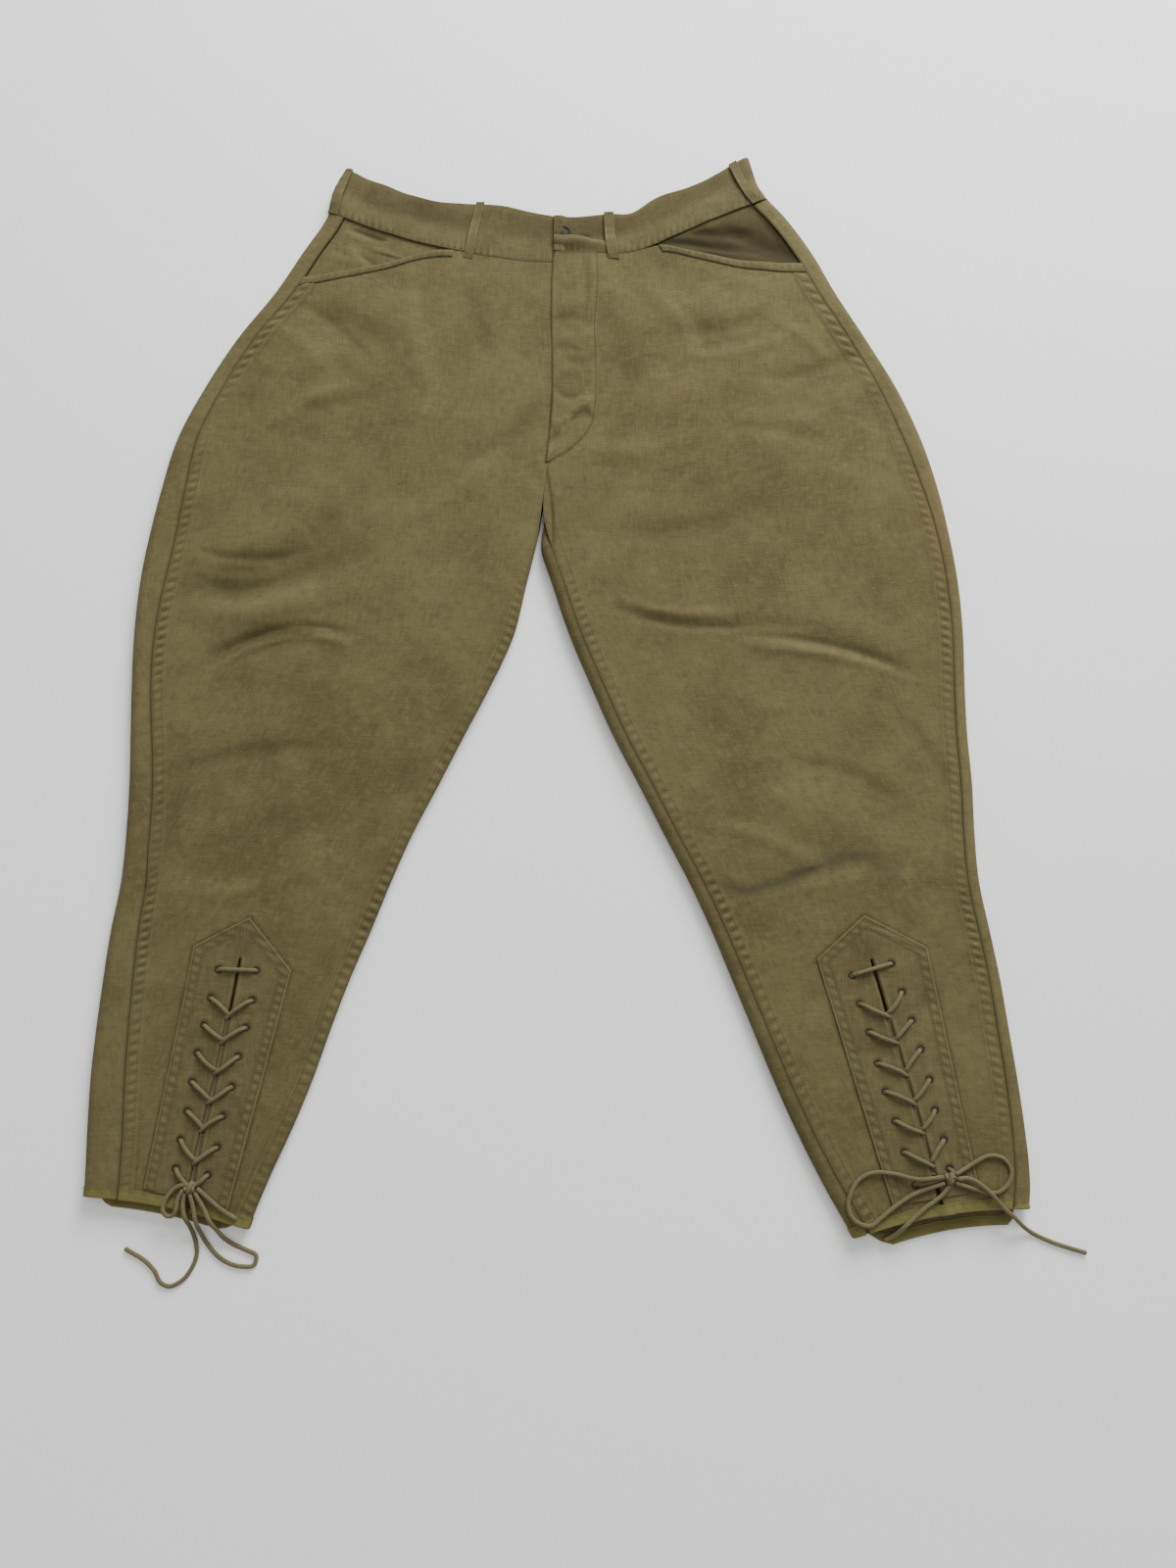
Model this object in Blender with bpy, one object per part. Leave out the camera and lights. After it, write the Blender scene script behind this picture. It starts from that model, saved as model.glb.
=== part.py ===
"""Lace-up riding breeches in olive drab cotton, laid flat with the front up.

Lengths are in millimetres until a mesh or curve is made, where MM turns them into metres.
+Y points to the waist, +X to the viewer's right, +Z up, and z = 0 is the surface they lie on.
Each leg is a flattened tube. A place on it is s, which runs from the waist seam (0) to the
hem (1), and r, the way in millimetres round the tube from the leg's inner edge.
"""
import math

import bmesh
import bpy
import numpy as np

MM = 0.001

# Cloth, seams and trims.
CLOTH = 1.5
BAND_CLOTH = 2.4
TRIM = 1.2
TAPE = 0.8
GAP = 0.3
EDGE_INSET = 0.9
ROLL = 9.0
BACK_LIE = CLOTH / 2
LACE_DIAMETER = 2.8
LACE_RADIUS = LACE_DIAMETER / 2
TAPE_WIDTH = 8.0
BAND_RISE = 0.056
BAND_SEAM = 0.0009
HEM_LIFT = GAP + TAPE
HEM_RISE_FROM = 0.966
HEM_RISE_TO = 0.986

# Where the upper cloth settles to its height in from a rolled edge, and how a rolled edge ends.
SETTLE_FROM = 4.0
SETTLE_TO = 34.0
ROLL_MARGIN = 1.5
ROLL_HALF_HEIGHT = 6.4

# Steps for the slopes of a surface: along the leg, across a panel, and round the tube.
STEP_S = 0.0005
STEP_SHARE = 0.002
STEP_R = 0.4

# The layout is moved along Y so that the origin is under the middle of the breeches.
LAYOUT_Y = -0.7

# How far the outseam is rolled on to the front, and where the inseam lies from the inner edge.
# Distance of each outseam in from the leg's outer edge: s, distance. The way to it round the
# rolled edge is OUTSEAM_ROUND longer.
OUTSEAM_IN = {
    "left": (
        (0.0, 17), (0.06, 18), (0.13, 19), (0.22, 21.5), (0.3, 26), (0.36, 27), (0.42, 22),
        (0.48, 19.5), (0.56, 22), (0.66, 23), (0.75, 26), (0.84, 29), (0.92, 31), (1.0, 29),
    ),
    "right": (
        (0.0, 17), (0.06, 17), (0.13, 17.5), (0.2, 19.5), (0.26, 18), (0.32, 14), (0.42, 12),
        (0.6, 11.5), (0.9, 11.5), (1.0, 14),
    ),
}
OUTSEAM_ROUND = 3.3
INSEAM_AT = {"left": 1.5, "right": 14.5}

# The crotch: the layers part above it and close into two tubes below it.
CROTCH_TOP = 160.0
CROTCH_LOW = 100.0
CROTCH_BLEND_FROM = 0.75
CROTCH_BLEND_TO = 0.1

# Outlines of each leg, a row for each level: y, inner edge x, outer edge x.
LEG_OUTLINE = {
    "left": (
        (540, -4, -210), (511, -4, -219), (482, -4, -230), (455, -4, -237), (413, -4, -260),
        (368, -4, -284), (313, -4, -320), (259, -4, -348), (207, -8, -369), (155, -14, -380),
        (104, -20.6, -388), (55, -31, -393), (6, -42, -394), (-41, -62, -392), (-88, -85, -389),
        (-134, -107, -386), (-179, -129, -385), (-223, -147, -386), (-266, -163, -391),
        (-309, -180, -394), (-350, -194, -396), (-391, -207, -397), (-431, -222, -396),
        (-471, -239, -394), (-540, -264, -390),
    ),
    "right": (
        (540, -4, 188), (511, -4, 195), (482, -4, 205), (455, -4, 226), (413, -4, 252),
        (368, -4, 273), (313, -4, 302), (259, -4, 329), (207, -8, 348), (155, -14, 361),
        (104, -19.8, 369), (55, -6, 374), (6, 10, 375), (-41, 29, 373), (-88, 49, 372),
        (-134, 72, 373), (-179, 94, 372), (-223, 116, 373), (-266, 135, 379),
        (-309, 152, 385), (-350, 168, 389), (-391, 184, 393), (-431, 201, 396),
        (-471, 220, 397), (-540, 258, 386),
    ),
}

# Lines across each leg: s, y at the inner edge, y at the outer edge, bow of the middle, and
# skew, which raises one half of the line and lowers the other.
LEG_LINES = {
    "left": (
        (-0.056, 449, 508, -11, 5), (0.0, 398, 457, -12, 0), (0.06, 345, 393, -6, 0),
        (0.13, 280, 312, -2, 0), (0.22, 197, 215, 0, 0), (0.35, 78, 85, 0, 0),
        (0.5, -60, -60, 0, 0), (0.65, -197, -195, 0, 0), (0.8, -333, -325, 2, 0),
        (0.9, -424, -408, 3, 0), (1.0, -512, -486, 5, 0),
    ),
    "right": (
        (-0.056, 449, 524, -18, 0), (0.0, 402, 473, -14, -5), (0.06, 347, 404, -7, -2),
        (0.13, 281, 316, -2, 0), (0.22, 197, 215, 0, 0), (0.35, 78, 85, 0, 0),
        (0.5, -60, -60, 0, 0), (0.65, -197, -195, 0, 0), (0.8, -335, -326, 2, 0),
        (0.9, -428, -412, 4, 0), (1.0, -519, -496, 7, 0),
    ),
}

# Height of the upper cloth over the surface: y, z.
CROWN = (
    (540, 15), (455, 15), (400, 14), (330, 15), (200, 16), (50, 16), (-100, 15), (-250, 14),
    (-400, 13), (-540, 13),
)

# Largest folds: start x, y, end x, y, bow, width, height. A valley has a height below zero.
FOLDS = (
    (-150, 215, -338, 20, 14, 20, -4.5),
    (-118, 240, -318, 62, 12, 22, 3.5),
    (-352, 52, -172, 96, -16, 17, -4.0),
    (-338, 30, -215, 48, -8, 14, 3.0),
    (-334, -34, -226, 2, 10, 12, -3.2),
    (-300, 250, -210, 300, 6, 15, 2.4),
    (-245, 346, -165, 296, 8, 15, -2.4),
    (34, 70, 318, -6, -12, 20, 2.4),
    (150, 20, 326, -36, 12, 13, -2.8),
    (60, 330, 250, 372, -14, 26, 2.6),
    (90, 250, 300, 90, 26, 34, 2.4),
    (170, -150, 300, -196, 14, 20, 2.0),
    (-200, -150, -330, -190, -12, 22, 1.8),
)
FOLD_START = -0.15
FOLD_FULL = 0.3

# The pocket mouth: share of the way from the fly to the outseam, and how far down it lies, in s.
POCKET_MOUTH = {
    "left": ((0.0, 0.0), (0.4, 0.0), (0.48, 0.001), (0.6, 0.010), (0.72, 0.031), (0.86, 0.050),
             (1.0, 0.066)),
    "right": ((0.0, 0.0), (0.4, 0.0), (0.48, 0.003), (0.6, 0.022), (0.74, 0.042), (0.88, 0.055),
              (1.0, 0.062)),
}
POCKET_START = 0.48
WELT_DEPTH = 0.0085
WELT_LIFT = 0.6
FACING_UNDER = 0.013
FACING_DROP = 0.7

# Fly placket: y, left edge x, right edge x. The right edge is the J of its stitching.
FLY_PLACKET = (
    (402, -8.0, 38), (380, -9.0, 39), (328, -9.0, 36), (285, -8.0, 37), (240, -8.0, 36),
    (218, -9.5, 32), (202, -11.0, 22), (188, -12.5, 7), (179, -13.8, -8),
)

# Lacing panels: apex, shoulders and feet of each pentagon, x and y.
LACING_PANEL = {
    "left": {"apex": (-268, -255), "shoulders": ((-315, -280), (-229, -301)),
             "feet": ((-342, -480), (-271, -498))},
    "right": {"apex": (268, -253), "shoulders": ((225, -291), (321, -281)),
              "feet": ((279, -494), (352, -482))},
}

# The open slit in each calf: y, x of its middle, half its width.
SLIT = {
    "left": ((-290, -274, 0.9), (-335, -280, 1.2), (-393, -289, 1.5), (-445, -298, 1.7),
             (-475, -302, 1.9), (-530, -308, 2.0)),
    "right": ((-291, 272, 0.9), (-319, 279, 1.1), (-356, 288, 1.4), (-418, 303, 1.6),
              (-475, 316, 1.8), (-535, 327, 2.0)),
}

# Eyelet pairs down each slit: left eyelet x, y, right eyelet x, y.
EYELETS = {
    "left": ((-292, -300, -259, -301), (-297, -324, -261, -326), (-301, -347, -265, -349),
             (-305, -370, -270, -373), (-308, -394, -274, -398), (-310, -418, -280, -422),
             (-314, -441, -283, -447), (-316, -464, -289, -469)),
    "right": ((255, -305, 289, -295), (260, -329, 297, -319), (267, -353, 304, -343),
              (273, -379, 310, -367), (278, -402, 316, -392), (285, -426, 319, -417),
              (291, -451, 325, -441), (299, -477, 328, -464)),
}
RUNG_DROP = 14.0
RUNG_ARCH = 0.5

# Belt loops on the front: side of the fly, and shares of the way to the side edge at the loop's
# foot and at its head.
BELT_LOOPS = {
    "belt_loop_front_left": ("left", 0.376, 0.357),
    "belt_loop_front_right": ("right", 0.24, 0.243),
    "belt_loop_side_left": ("left", 0.965, 0.97),
    "belt_loop_side_right": ("right", 0.922, 0.894),
}
LOOP_WIDTH = 9.0
LOOP_STAND = 1.5

BUTTON = {"x": 2.0, "y": 431.0, "radius": 8.5, "thick": 2.2, "over": 0.1}

# The knots, and the free parts of both laces: route points x, y, z.
KNOTS = {"left": (-302.0, -479.0, 17.6), "right": (327.0, -472.0, 17.6)}
KNOT_SIZE = (5.2, 4.2, 2.8)
LACE_ROUTES = {
    "lace_loop_left_outer": (
        (-307.8, -476.6, 17.4), (-313, -478.5, 16.9), (-319, -484, 16.5), (-323, -491, 16.2),
        (-323.5, -497.5, 16.0), (-320.5, -501.5, 14.8), (-315.5, -501, 15.0), (-313, -496.5, 16.2),
        (-312, -489, 16.6), (-308.2, -481.0, 17.2)),
    "lace_loop_left_inner": (
        (-297.6, -483.4, 17.4), (-293, -490.5, 16.9), (-288.5, -498, 16.4), (-285.5, -504, 16.1),
        (-283.3, -508.5, 13.4), (-280.3, -513, 9.2), (-275.5, -519.5, 5.2), (-267, -525.5, 2.3),
        (-256, -530, 1.6), (-248, -534.5, 1.6), (-249, -541, 1.6), (-261, -542.5, 1.6),
        (-274, -538.5, 1.6), (-285, -530, 1.7), (-291.5, -521.5, 3.4), (-294.6, -514, 8.0),
        (-296, -508.5, 12.8), (-296.8, -503.5, 16.1), (-298, -497, 16.7), (-301.8, -484.6, 17.4)),
    "lace_end_left_outer": (
        (-305.8, -483.6, 17.2), (-307.4, -490.5, 16.7), (-307, -496.5, 16.4),
        (-305.9, -501.5, 15.8), (-304.4, -506, 12.4), (-302.5, -511, 8.2), (-300.5, -517.5, 4.4),
        (-299, -524, 2.0),
        (-297.5, -532, 1.6), (-301, -544, 1.6), (-309, -554, 1.6), (-319, -558, 1.6),
        (-326, -555, 1.6), (-331, -547, 1.6), (-338, -540, 1.6), (-357, -529, 1.6)),
    "lace_end_left_inner": (
        (-295.8, -480.0, 17.4), (-289, -485.5, 16.9), (-280.5, -492.5, 16.4),
        (-272, -498.5, 16.1), (-263, -503.5, 16.0)),
    "lace_loop_right_inner": (
        (320.9, -470.6, 18.4), (313, -471.4, 19.4), (304, -472.4, 19.8), (295, -471.6, 18.4),
        (285, -469, 17.0), (276, -467.5, 16.6), (268, -467, 16.0), (260, -468.5, 15.1),
        (252, -473, 14.9),
        (245, -483, 14.9), (242, -494, 14.9), (245, -503, 15.4), (252, -508, 16.0),
        (260, -509, 16.0), (267, -504, 16.0), (279, -495, 16.3), (297, -484, 16.6),
        (311, -479, 17.0), (321.8, -475.8, 17.2)),
    "lace_end_right_inner": (
        (326, -477.6, 17.0), (321, -484, 16.5), (313, -490, 16.3), (306, -494.5, 16.2),
        (299, -500, 16.2), (293, -505, 16.2), (288.2, -509.5, 15.6), (284.4, -513.8, 12.2),
        (279.5, -518, 8.4), (272, -521.5, 6.2)),
    "lace_loop_right_outer": (
        (332.2, -468.4, 17.6), (341, -463.5, 17.0), (350, -458.5, 16.4), (361, -454, 15.2),
        (373, -456, 14.9), (379, -466, 14.9), (375, -477, 14.9), (366, -483, 15.4),
        (356, -482.5, 16.3), (345, -479.5, 16.8), (332.0, -475.6, 17.2)),
    "lace_end_right_outer": (
        (333.4, -472, 18.8), (341, -471.4, 18.4), (348, -474, 18.8), (354, -478.5, 19.6),
        (360, -484, 19.4), (365.5, -490, 17.4), (371, -496, 16.0), (377, -501, 16.0),
        (382.5, -506, 12.4), (388.5, -511, 6.8), (396, -516, 2.6), (411, -523, 1.6),
        (426, -528, 1.6), (440, -532, 1.6)),
}
ROUTE_STEP = 7.0

OLIVE = (0.153, 0.129, 0.058)
OLIVE_LIGHT = (0.172, 0.146, 0.066)
OLIVE_DARK = (0.120, 0.100, 0.045)
MUSTARD = (0.190, 0.152, 0.047)
LACE_COLOR = (0.165, 0.140, 0.066)
DARK_METAL = (0.045, 0.040, 0.034)


def clear_scene():
    """Remove whatever the file holds."""
    for thing in list(bpy.data.objects):
        bpy.data.objects.remove(thing, do_unlink=True)


def material(name, color, roughness, metallic=0.0):
    """A plain Principled material, made once for each name."""
    found = bpy.data.materials.get(name)
    if found:
        return found
    made = bpy.data.materials.new(name)
    made.use_nodes = True
    shader = made.node_tree.nodes["Principled BSDF"]
    shader.inputs["Base Color"].default_value = (*color, 1.0)
    shader.inputs["Roughness"].default_value = roughness
    shader.inputs["Metallic"].default_value = metallic
    made.diffuse_color = (*color, 1.0)
    return made


def twill():
    return material("olive_twill", OLIVE, 0.92)


def twill_light():
    return material("olive_twill_light", OLIVE_LIGHT, 0.92)


def twill_dark():
    return material("olive_twill_inside", OLIVE_DARK, 0.94)


def mustard_tape():
    return material("mustard_tape", MUSTARD, 0.85)


def lace_cotton():
    return material("lace_cotton", LACE_COLOR, 0.9)


def button_metal():
    return material("button_metal", DARK_METAL, 0.5, 0.8)


def smooth_curve(rows, at):
    """Cubic through rows of (place, value), straight past both ends."""
    knots, values = np.array(sorted(rows), float).T
    slopes = np.gradient(values, knots)
    at = np.asarray(at, float)
    inside = np.clip(at, knots[0], knots[-1])
    i = np.clip(np.searchsorted(knots, inside, side="right") - 1, 0, len(knots) - 2)
    width = knots[i + 1] - knots[i]
    t = (inside - knots[i]) / width
    value = (
        (2 * t**3 - 3 * t**2 + 1) * values[i]
        + (t**3 - 2 * t**2 + t) * width * slopes[i]
        + (3 * t**2 - 2 * t**3) * values[i + 1]
        + (t**3 - t**2) * width * slopes[i + 1]
    )
    past = np.where(at > knots[-1], slopes[-1], slopes[0])
    return value + (at - inside) * past


def column(rows, index):
    """Rows of (first column, named column)."""
    return [(row[0], row[index]) for row in rows]


def ease(low, high, value):
    """Smooth step from 0 at low to 1 at high."""
    t = np.clip((np.asarray(value, float) - low) / (high - low), 0, 1)
    return t * t * (3 - 2 * t)


def fold_relief(x, y):
    """Sum of the soft folds: a bell across a bowed line, fading out at its ends."""
    total = np.zeros(np.broadcast(x, y).shape)
    for x0, y0, x1, y1, bow, width, height in FOLDS:
        length = math.hypot(x1 - x0, y1 - y0)
        along_x = (x1 - x0) / length
        along_y = (y1 - y0) / length
        u = ((x - x0) * along_x + (y - y0) * along_y) / length
        side = (y - y0) * along_x - (x - x0) * along_y
        inside = np.clip(u, 0, 1)
        bell = np.exp(-(((side - bow * 4 * inside * (1 - inside)) / width) ** 2))
        ends = ease(FOLD_START, FOLD_FULL, u) * ease(FOLD_START, FOLD_FULL, 1 - u)
        total = total + height * bell * ends
    return total


def top_height(x, y):
    """Height of the outer face of the upper cloth away from the rolled edges."""
    return smooth_curve(CROWN, y) + fold_relief(x, y)


def leg_section(leg, s, wall):
    """The line across a leg at s: its inner end, the way across it, the span of its middle wall,
    and the heights of its lower and upper walls."""
    y_in = smooth_curve(column(LEG_LINES[leg], 1), s)
    y_out = smooth_curve(column(LEG_LINES[leg], 2), s)
    x_in = smooth_curve(column(LEG_OUTLINE[leg], 1), y_in)
    x_out = smooth_curve(column(LEG_OUTLINE[leg], 2), y_out)
    across = np.stack([x_out - x_in, y_out - y_in], -1)
    length = np.linalg.norm(across, axis=-1)
    low = BACK_LIE + (wall - CLOTH) / 2 + HEM_LIFT * ease(HEM_RISE_FROM, HEM_RISE_TO, s)
    high = smooth_curve(CROWN, (y_in + y_out) / 2) - wall / 2
    return x_in, y_in, across / length[..., None], length - 2 * EDGE_INSET, low, high


def tube_point(leg, s, r, way, wall):
    """Middle of a wall at s, and r round from the inner edge: over the top with way 1, and
    under with way -1. Each edge is a half ellipse, and the stretch between is nearly flat."""
    s, r = np.broadcast_arrays(np.asarray(s, float), np.asarray(r, float))
    x_in, y_in, across, span, low, high = leg_section(leg, s, wall)
    bow = smooth_curve(column(LEG_LINES[leg], 3), s)
    skew = smooth_curve(column(LEG_LINES[leg], 4), s)
    half = (high - low) / 2
    quarter = roll_length(half)
    way_round = 2 * quarter + span - 2 * ROLL
    turn_in = np.clip(r / quarter, -1, 1) * math.pi / 2
    turn_out = np.clip((way_round - r) / quarter, -1, 1) * math.pi / 2
    d_in = ROLL * (1 - np.cos(turn_in)) + np.maximum(np.abs(r) - quarter, 0)
    d_out = ROLL * (1 - np.cos(turn_out)) + np.maximum(np.abs(way_round - r) - quarter, 0)
    near = r < way_round / 2
    d = np.where(near, d_in, span - d_out)
    level = np.where(near, np.sin(turn_in), np.sin(turn_out)) * way
    flat_d = r - way * INSEAM_AT[leg] - GAP / 2
    part = flat_d / (way_round / 2)
    open_top = 1 - ease(CROTCH_TOP, CROTCH_LOW, y_in)
    blend = open_top * ease(CROTCH_BLEND_FROM, CROTCH_BLEND_TO, part)
    d = d + (flat_d - EDGE_INSET + GAP / 2 - d) * blend
    level = level + (way - level) * blend
    place = d + EDGE_INSET
    share = place / (span + 2 * EDGE_INSET)
    x = x_in + across[..., 0] * place
    y = y_in + across[..., 1] * place + bow * 4 * share * (1 - share)
    y = y + skew * max(way, 0) * np.sin(2 * math.pi * share)
    z = (low + high) / 2 + half * level
    from_edge = np.minimum(place, span - place) + (SETTLE_TO - SETTLE_FROM) * blend
    lie = ease(0.0, 1.0, level) * ease(SETTLE_FROM, SETTLE_TO, from_edge)
    z = z + (top_height(x, y) - wall / 2 - high) * lie
    return np.stack([x, y, z], -1)


def roll_length(half):
    """Quarter of the way round an edge."""
    return math.pi / 2 * np.sqrt((ROLL**2 + half**2) / 2)


def tube_length(leg, s, wall=CLOTH):
    """Way over the top of a leg from the inner edge to the outer, at s."""
    _, _, _, span, low, high = leg_section(leg, s, wall)
    return 2 * roll_length((high - low) / 2) + span - 2 * ROLL


def outseam_at(leg, s):
    """Way from the outer edge to the outseam."""
    return smooth_curve(OUTSEAM_IN[leg], s) + OUTSEAM_ROUND


def front_r(leg, s, share):
    """Way round at a share of the front panel, from the inseam or fly to the outseam."""
    start = INSEAM_AT[leg] + GAP / 2
    end = tube_length(leg, s) - outseam_at(leg, s) - GAP * (1 + ease(0.14, 0.08, s))
    return start + (end - start) * share


def framed(point_at, s, t, step_s, step_t):
    """Points of a surface of two parameters, and its unit normals by central differences."""
    s, t = np.broadcast_arrays(np.asarray(s, float), np.asarray(t, float))
    down = point_at(s + step_s, t) - point_at(s - step_s, t)
    right = point_at(s, t + step_t) - point_at(s, t - step_t)
    normal = np.cross(right, down)
    return point_at(s, t), normal / np.linalg.norm(normal, axis=-1)[..., None]


def outward(leg, way):
    """Sign that turns a leg's surface normals out of the tube."""
    return way if leg == "left" else -way


def front_frame(leg, s, share):
    """Middle points and outward normals of the front panel."""
    def at(level, part):
        return tube_point(leg, level, front_r(leg, level, part), 1, CLOTH)

    points, normal = framed(at, s, share, STEP_S, STEP_SHARE)
    return points, normal * outward(leg, 1)


def front_lifted(leg, s, share, lift):
    """Front panel's points moved out by lift, and their normals."""
    points, normal = front_frame(leg, s, share)
    return points + normal * lift, normal


def placed(point):
    """A point in metres in the part's frame."""
    return (float(point[0]) * MM, (float(point[1]) + LAYOUT_Y) * MM, float(point[2]) * MM)


def link_mesh(name, verts, faces, mat, smooth=True, sharp=50):
    """Make an object from points in millimetres, with its faces turned outwards."""
    mesh = bpy.data.meshes.new(name)
    mesh.from_pydata([placed(vert) for vert in verts], [], faces)
    shape = bmesh.new()
    shape.from_mesh(mesh)
    bmesh.ops.recalc_face_normals(shape, faces=shape.faces)
    shape.to_mesh(mesh)
    shape.free()
    mesh.materials.append(mat)
    if smooth:
        mesh.shade_smooth()
        mesh.set_sharp_from_angle(angle=math.radians(sharp))
    made = bpy.data.objects.new(name, mesh)
    bpy.context.scene.collection.objects.link(made)
    return made


def wall(name, framed_grid, thick, mat):
    """A closed wall round a grid of middle points and normals, rows down, columns across."""
    grid, normal = framed_grid
    rows, cols = grid.shape[:2]
    outer = (grid + normal * thick / 2).reshape(-1, 3)
    inner = (grid - normal * thick / 2).reshape(-1, 3)
    verts = np.concatenate([outer, inner])
    half = rows * cols
    faces = []
    for i in range(rows - 1):
        for j in range(cols - 1):
            a = i * cols + j
            faces.append((a, a + 1, a + cols + 1, a + cols))
            faces.append((half + a, half + a + cols, half + a + cols + 1, half + a + 1))
    rim = list(range(cols))
    rim += [i * cols + cols - 1 for i in range(1, rows)]
    rim += [(rows - 1) * cols + j for j in range(cols - 2, -1, -1)]
    rim += [i * cols for i in range(rows - 2, 0, -1)]
    for a, b in zip(rim, rim[1:] + rim[:1]):
        faces.append((a, half + a, half + b, b))
    return link_mesh(name, verts, faces, mat)


def grid_of(rows, cols):
    """Two arrays of row and column places."""
    return np.meshgrid(np.asarray(rows, float), np.asarray(cols, float), indexing="ij")


def mouth_depth(leg, share):
    """How far down, in s, a front starts below the waist seam."""
    return np.maximum(smooth_curve(POCKET_MOUTH[leg], share), 0.0)


# Rows down a leg, shared by front and back so that their seams match.
LEG_ROWS = (*np.linspace(0.0, 0.17, 10), *np.linspace(0.205, 0.964, 21), 0.987, 1.0)
MOUTH_REACH = 0.17
FRONT_SHARES = (0.0, 0.012, 0.028, 0.05, 0.085, 0.13, 0.19, 0.26, 0.33, 0.4, 0.48, 0.56, 0.64, 0.72,
                0.8, 0.87, 0.94, 1.0)


def make_front(leg):
    """Front panel from the waist seam and pocket mouth to the hem, open at the slit."""
    level, share = grid_of(LEG_ROWS, FRONT_SHARES)
    top = mouth_depth(leg, share)
    s = np.where(level < MOUTH_REACH, top + level * (MOUTH_REACH - top) / MOUTH_REACH, level)
    made = wall(f"front_{leg}", front_frame(leg, s, share), CLOTH, twill())
    cut_slit(made, leg)
    return made


BACK_INNER_STEPS = 5
BACK_FLAT_STEPS = 7
BACK_OUTER_STEPS = 6
BACK_STRIP_STEPS = 1
BACK_HEM_DROP = {"left": 0.009, "right": 0.016}
BACK_HEM_SHAPE = (0.0, 0.85, 1.0, 1.0, 1.0, 1.0, 0.85, 0.0)
HEM_DROP_FROM = 0.95


def back_columns(leg, s):
    """Ways round the back at s: inner roll, flat stretch, outer roll, strip to the outseam."""
    half_way = tube_length(leg, s)
    rolled = roll_length(np.full_like(s, ROLL_HALF_HEIGHT)) + ROLL_MARGIN
    start = np.full_like(s, GAP / 2 - INSEAM_AT[leg])
    end = half_way + outseam_at(leg, s) - GAP / 2
    marks = (start, rolled, half_way - rolled, half_way + rolled, end)
    steps = (BACK_INNER_STEPS, BACK_FLAT_STEPS, BACK_OUTER_STEPS, BACK_STRIP_STEPS)
    columns = []
    for first, last, count in zip(marks, marks[1:], steps):
        columns += [first + (last - first) * k / count for k in range(count)]
    columns.append(end)
    return np.stack(columns, -1)


def back_hem(leg):
    """Extra length of each column of the back at the hem, in s: none on the rolled edges."""
    count = BACK_INNER_STEPS + BACK_FLAT_STEPS + BACK_OUTER_STEPS + BACK_STRIP_STEPS + 1
    drop = np.zeros(count)
    flat = slice(BACK_INNER_STEPS, BACK_INNER_STEPS + BACK_FLAT_STEPS + 1)
    drop[flat] = np.array(BACK_HEM_SHAPE) * BACK_HEM_DROP[leg]
    return drop


def back_frame(leg, rows):
    """Middle points and outward normals of the back panel at rows down the leg."""
    rows = np.asarray(rows, float)
    s = rows[:, None] + back_hem(leg)[None, :] * ease(HEM_DROP_FROM, 1.0, rows)[:, None]
    columns = back_columns(leg, rows)

    def at(level, r):
        return tube_point(leg, level, r, -1, CLOTH)

    points, normal = framed(at, s, columns, STEP_S, STEP_R)
    return points, normal * outward(leg, -1)


def make_back(leg):
    """Back panel: flat on the surface, and rolled up round the leg's edges."""
    return wall(f"back_{leg}", back_frame(leg, LEG_ROWS), CLOTH, twill())


BAND_SHARES = (0.0, 0.12, 0.24, 0.36, 0.48, 0.6, 0.72, 0.83, 0.9, 0.93, 0.955, 0.98, 1.0)
BAND_LEVELS = (-BAND_SEAM, -0.014, -0.028, -0.042, -BAND_RISE)
BAND_TOP_LIFT = 0.8
BAND_VALLEY = {"at": 0.55, "width": 0.22, "depth": 1.3}


def band_frame(leg, s, share, way):
    """Middle points and outward normals of the waistband, from the fly to the side edge."""
    def at(level, part):
        start = way * INSEAM_AT[leg] + GAP / 2
        end = tube_length(leg, level, BAND_CLOTH) - GAP / 2
        point = tube_point(leg, level, start + (end - start) * part, way, BAND_CLOTH)
        up = -level / BAND_RISE
        dip = np.exp(-(((up - BAND_VALLEY["at"]) / BAND_VALLEY["width"]) ** 2))
        rise = BAND_TOP_LIFT * ease(0.7, 1.0, up) - BAND_VALLEY["depth"] * dip
        if way > 0:
            point[..., 2] += rise * ease(1.0, 0.9, part)
        return point

    points, normal = framed(at, s, share, STEP_S, STEP_SHARE)
    return points, normal * outward(leg, way)


def make_band_front(leg):
    """Front half of the waistband, from the fly to the side edge."""
    levels, share = grid_of(BAND_LEVELS, BAND_SHARES)
    return wall(f"waistband_{leg}", band_frame(leg, levels, share, 1), BAND_CLOTH, twill_light())


def make_band_back():
    """Back of the waistband, from side edge to side edge, lying on the surface."""
    levels, share = grid_of(BAND_LEVELS, BAND_SHARES)
    left = band_frame("left", levels, share, -1)
    right = band_frame("right", levels, share, -1)
    joined = [np.concatenate([a[:, :0:-1], b[:, 1:]], axis=1) for a, b in zip(left, right)]
    return wall("waistband_back", joined, BAND_CLOTH, twill_light())


def pocket_shares():
    """The front's own columns along the pocket mouth."""
    return [share for share in FRONT_SHARES if share >= POCKET_START]


def make_facing(leg):
    """Pocket facing: the cloth seen between the waist seam, the mouth and the outseam."""
    down, share = grid_of(np.linspace(0, 1, 5), pocket_shares())
    end = mouth_depth(leg, share) + FACING_UNDER
    drop = -(CLOTH + FACING_DROP)
    frame = front_lifted(leg, end * down, share, drop)
    return wall(f"pocket_facing_{leg}", frame, CLOTH, twill())


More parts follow.
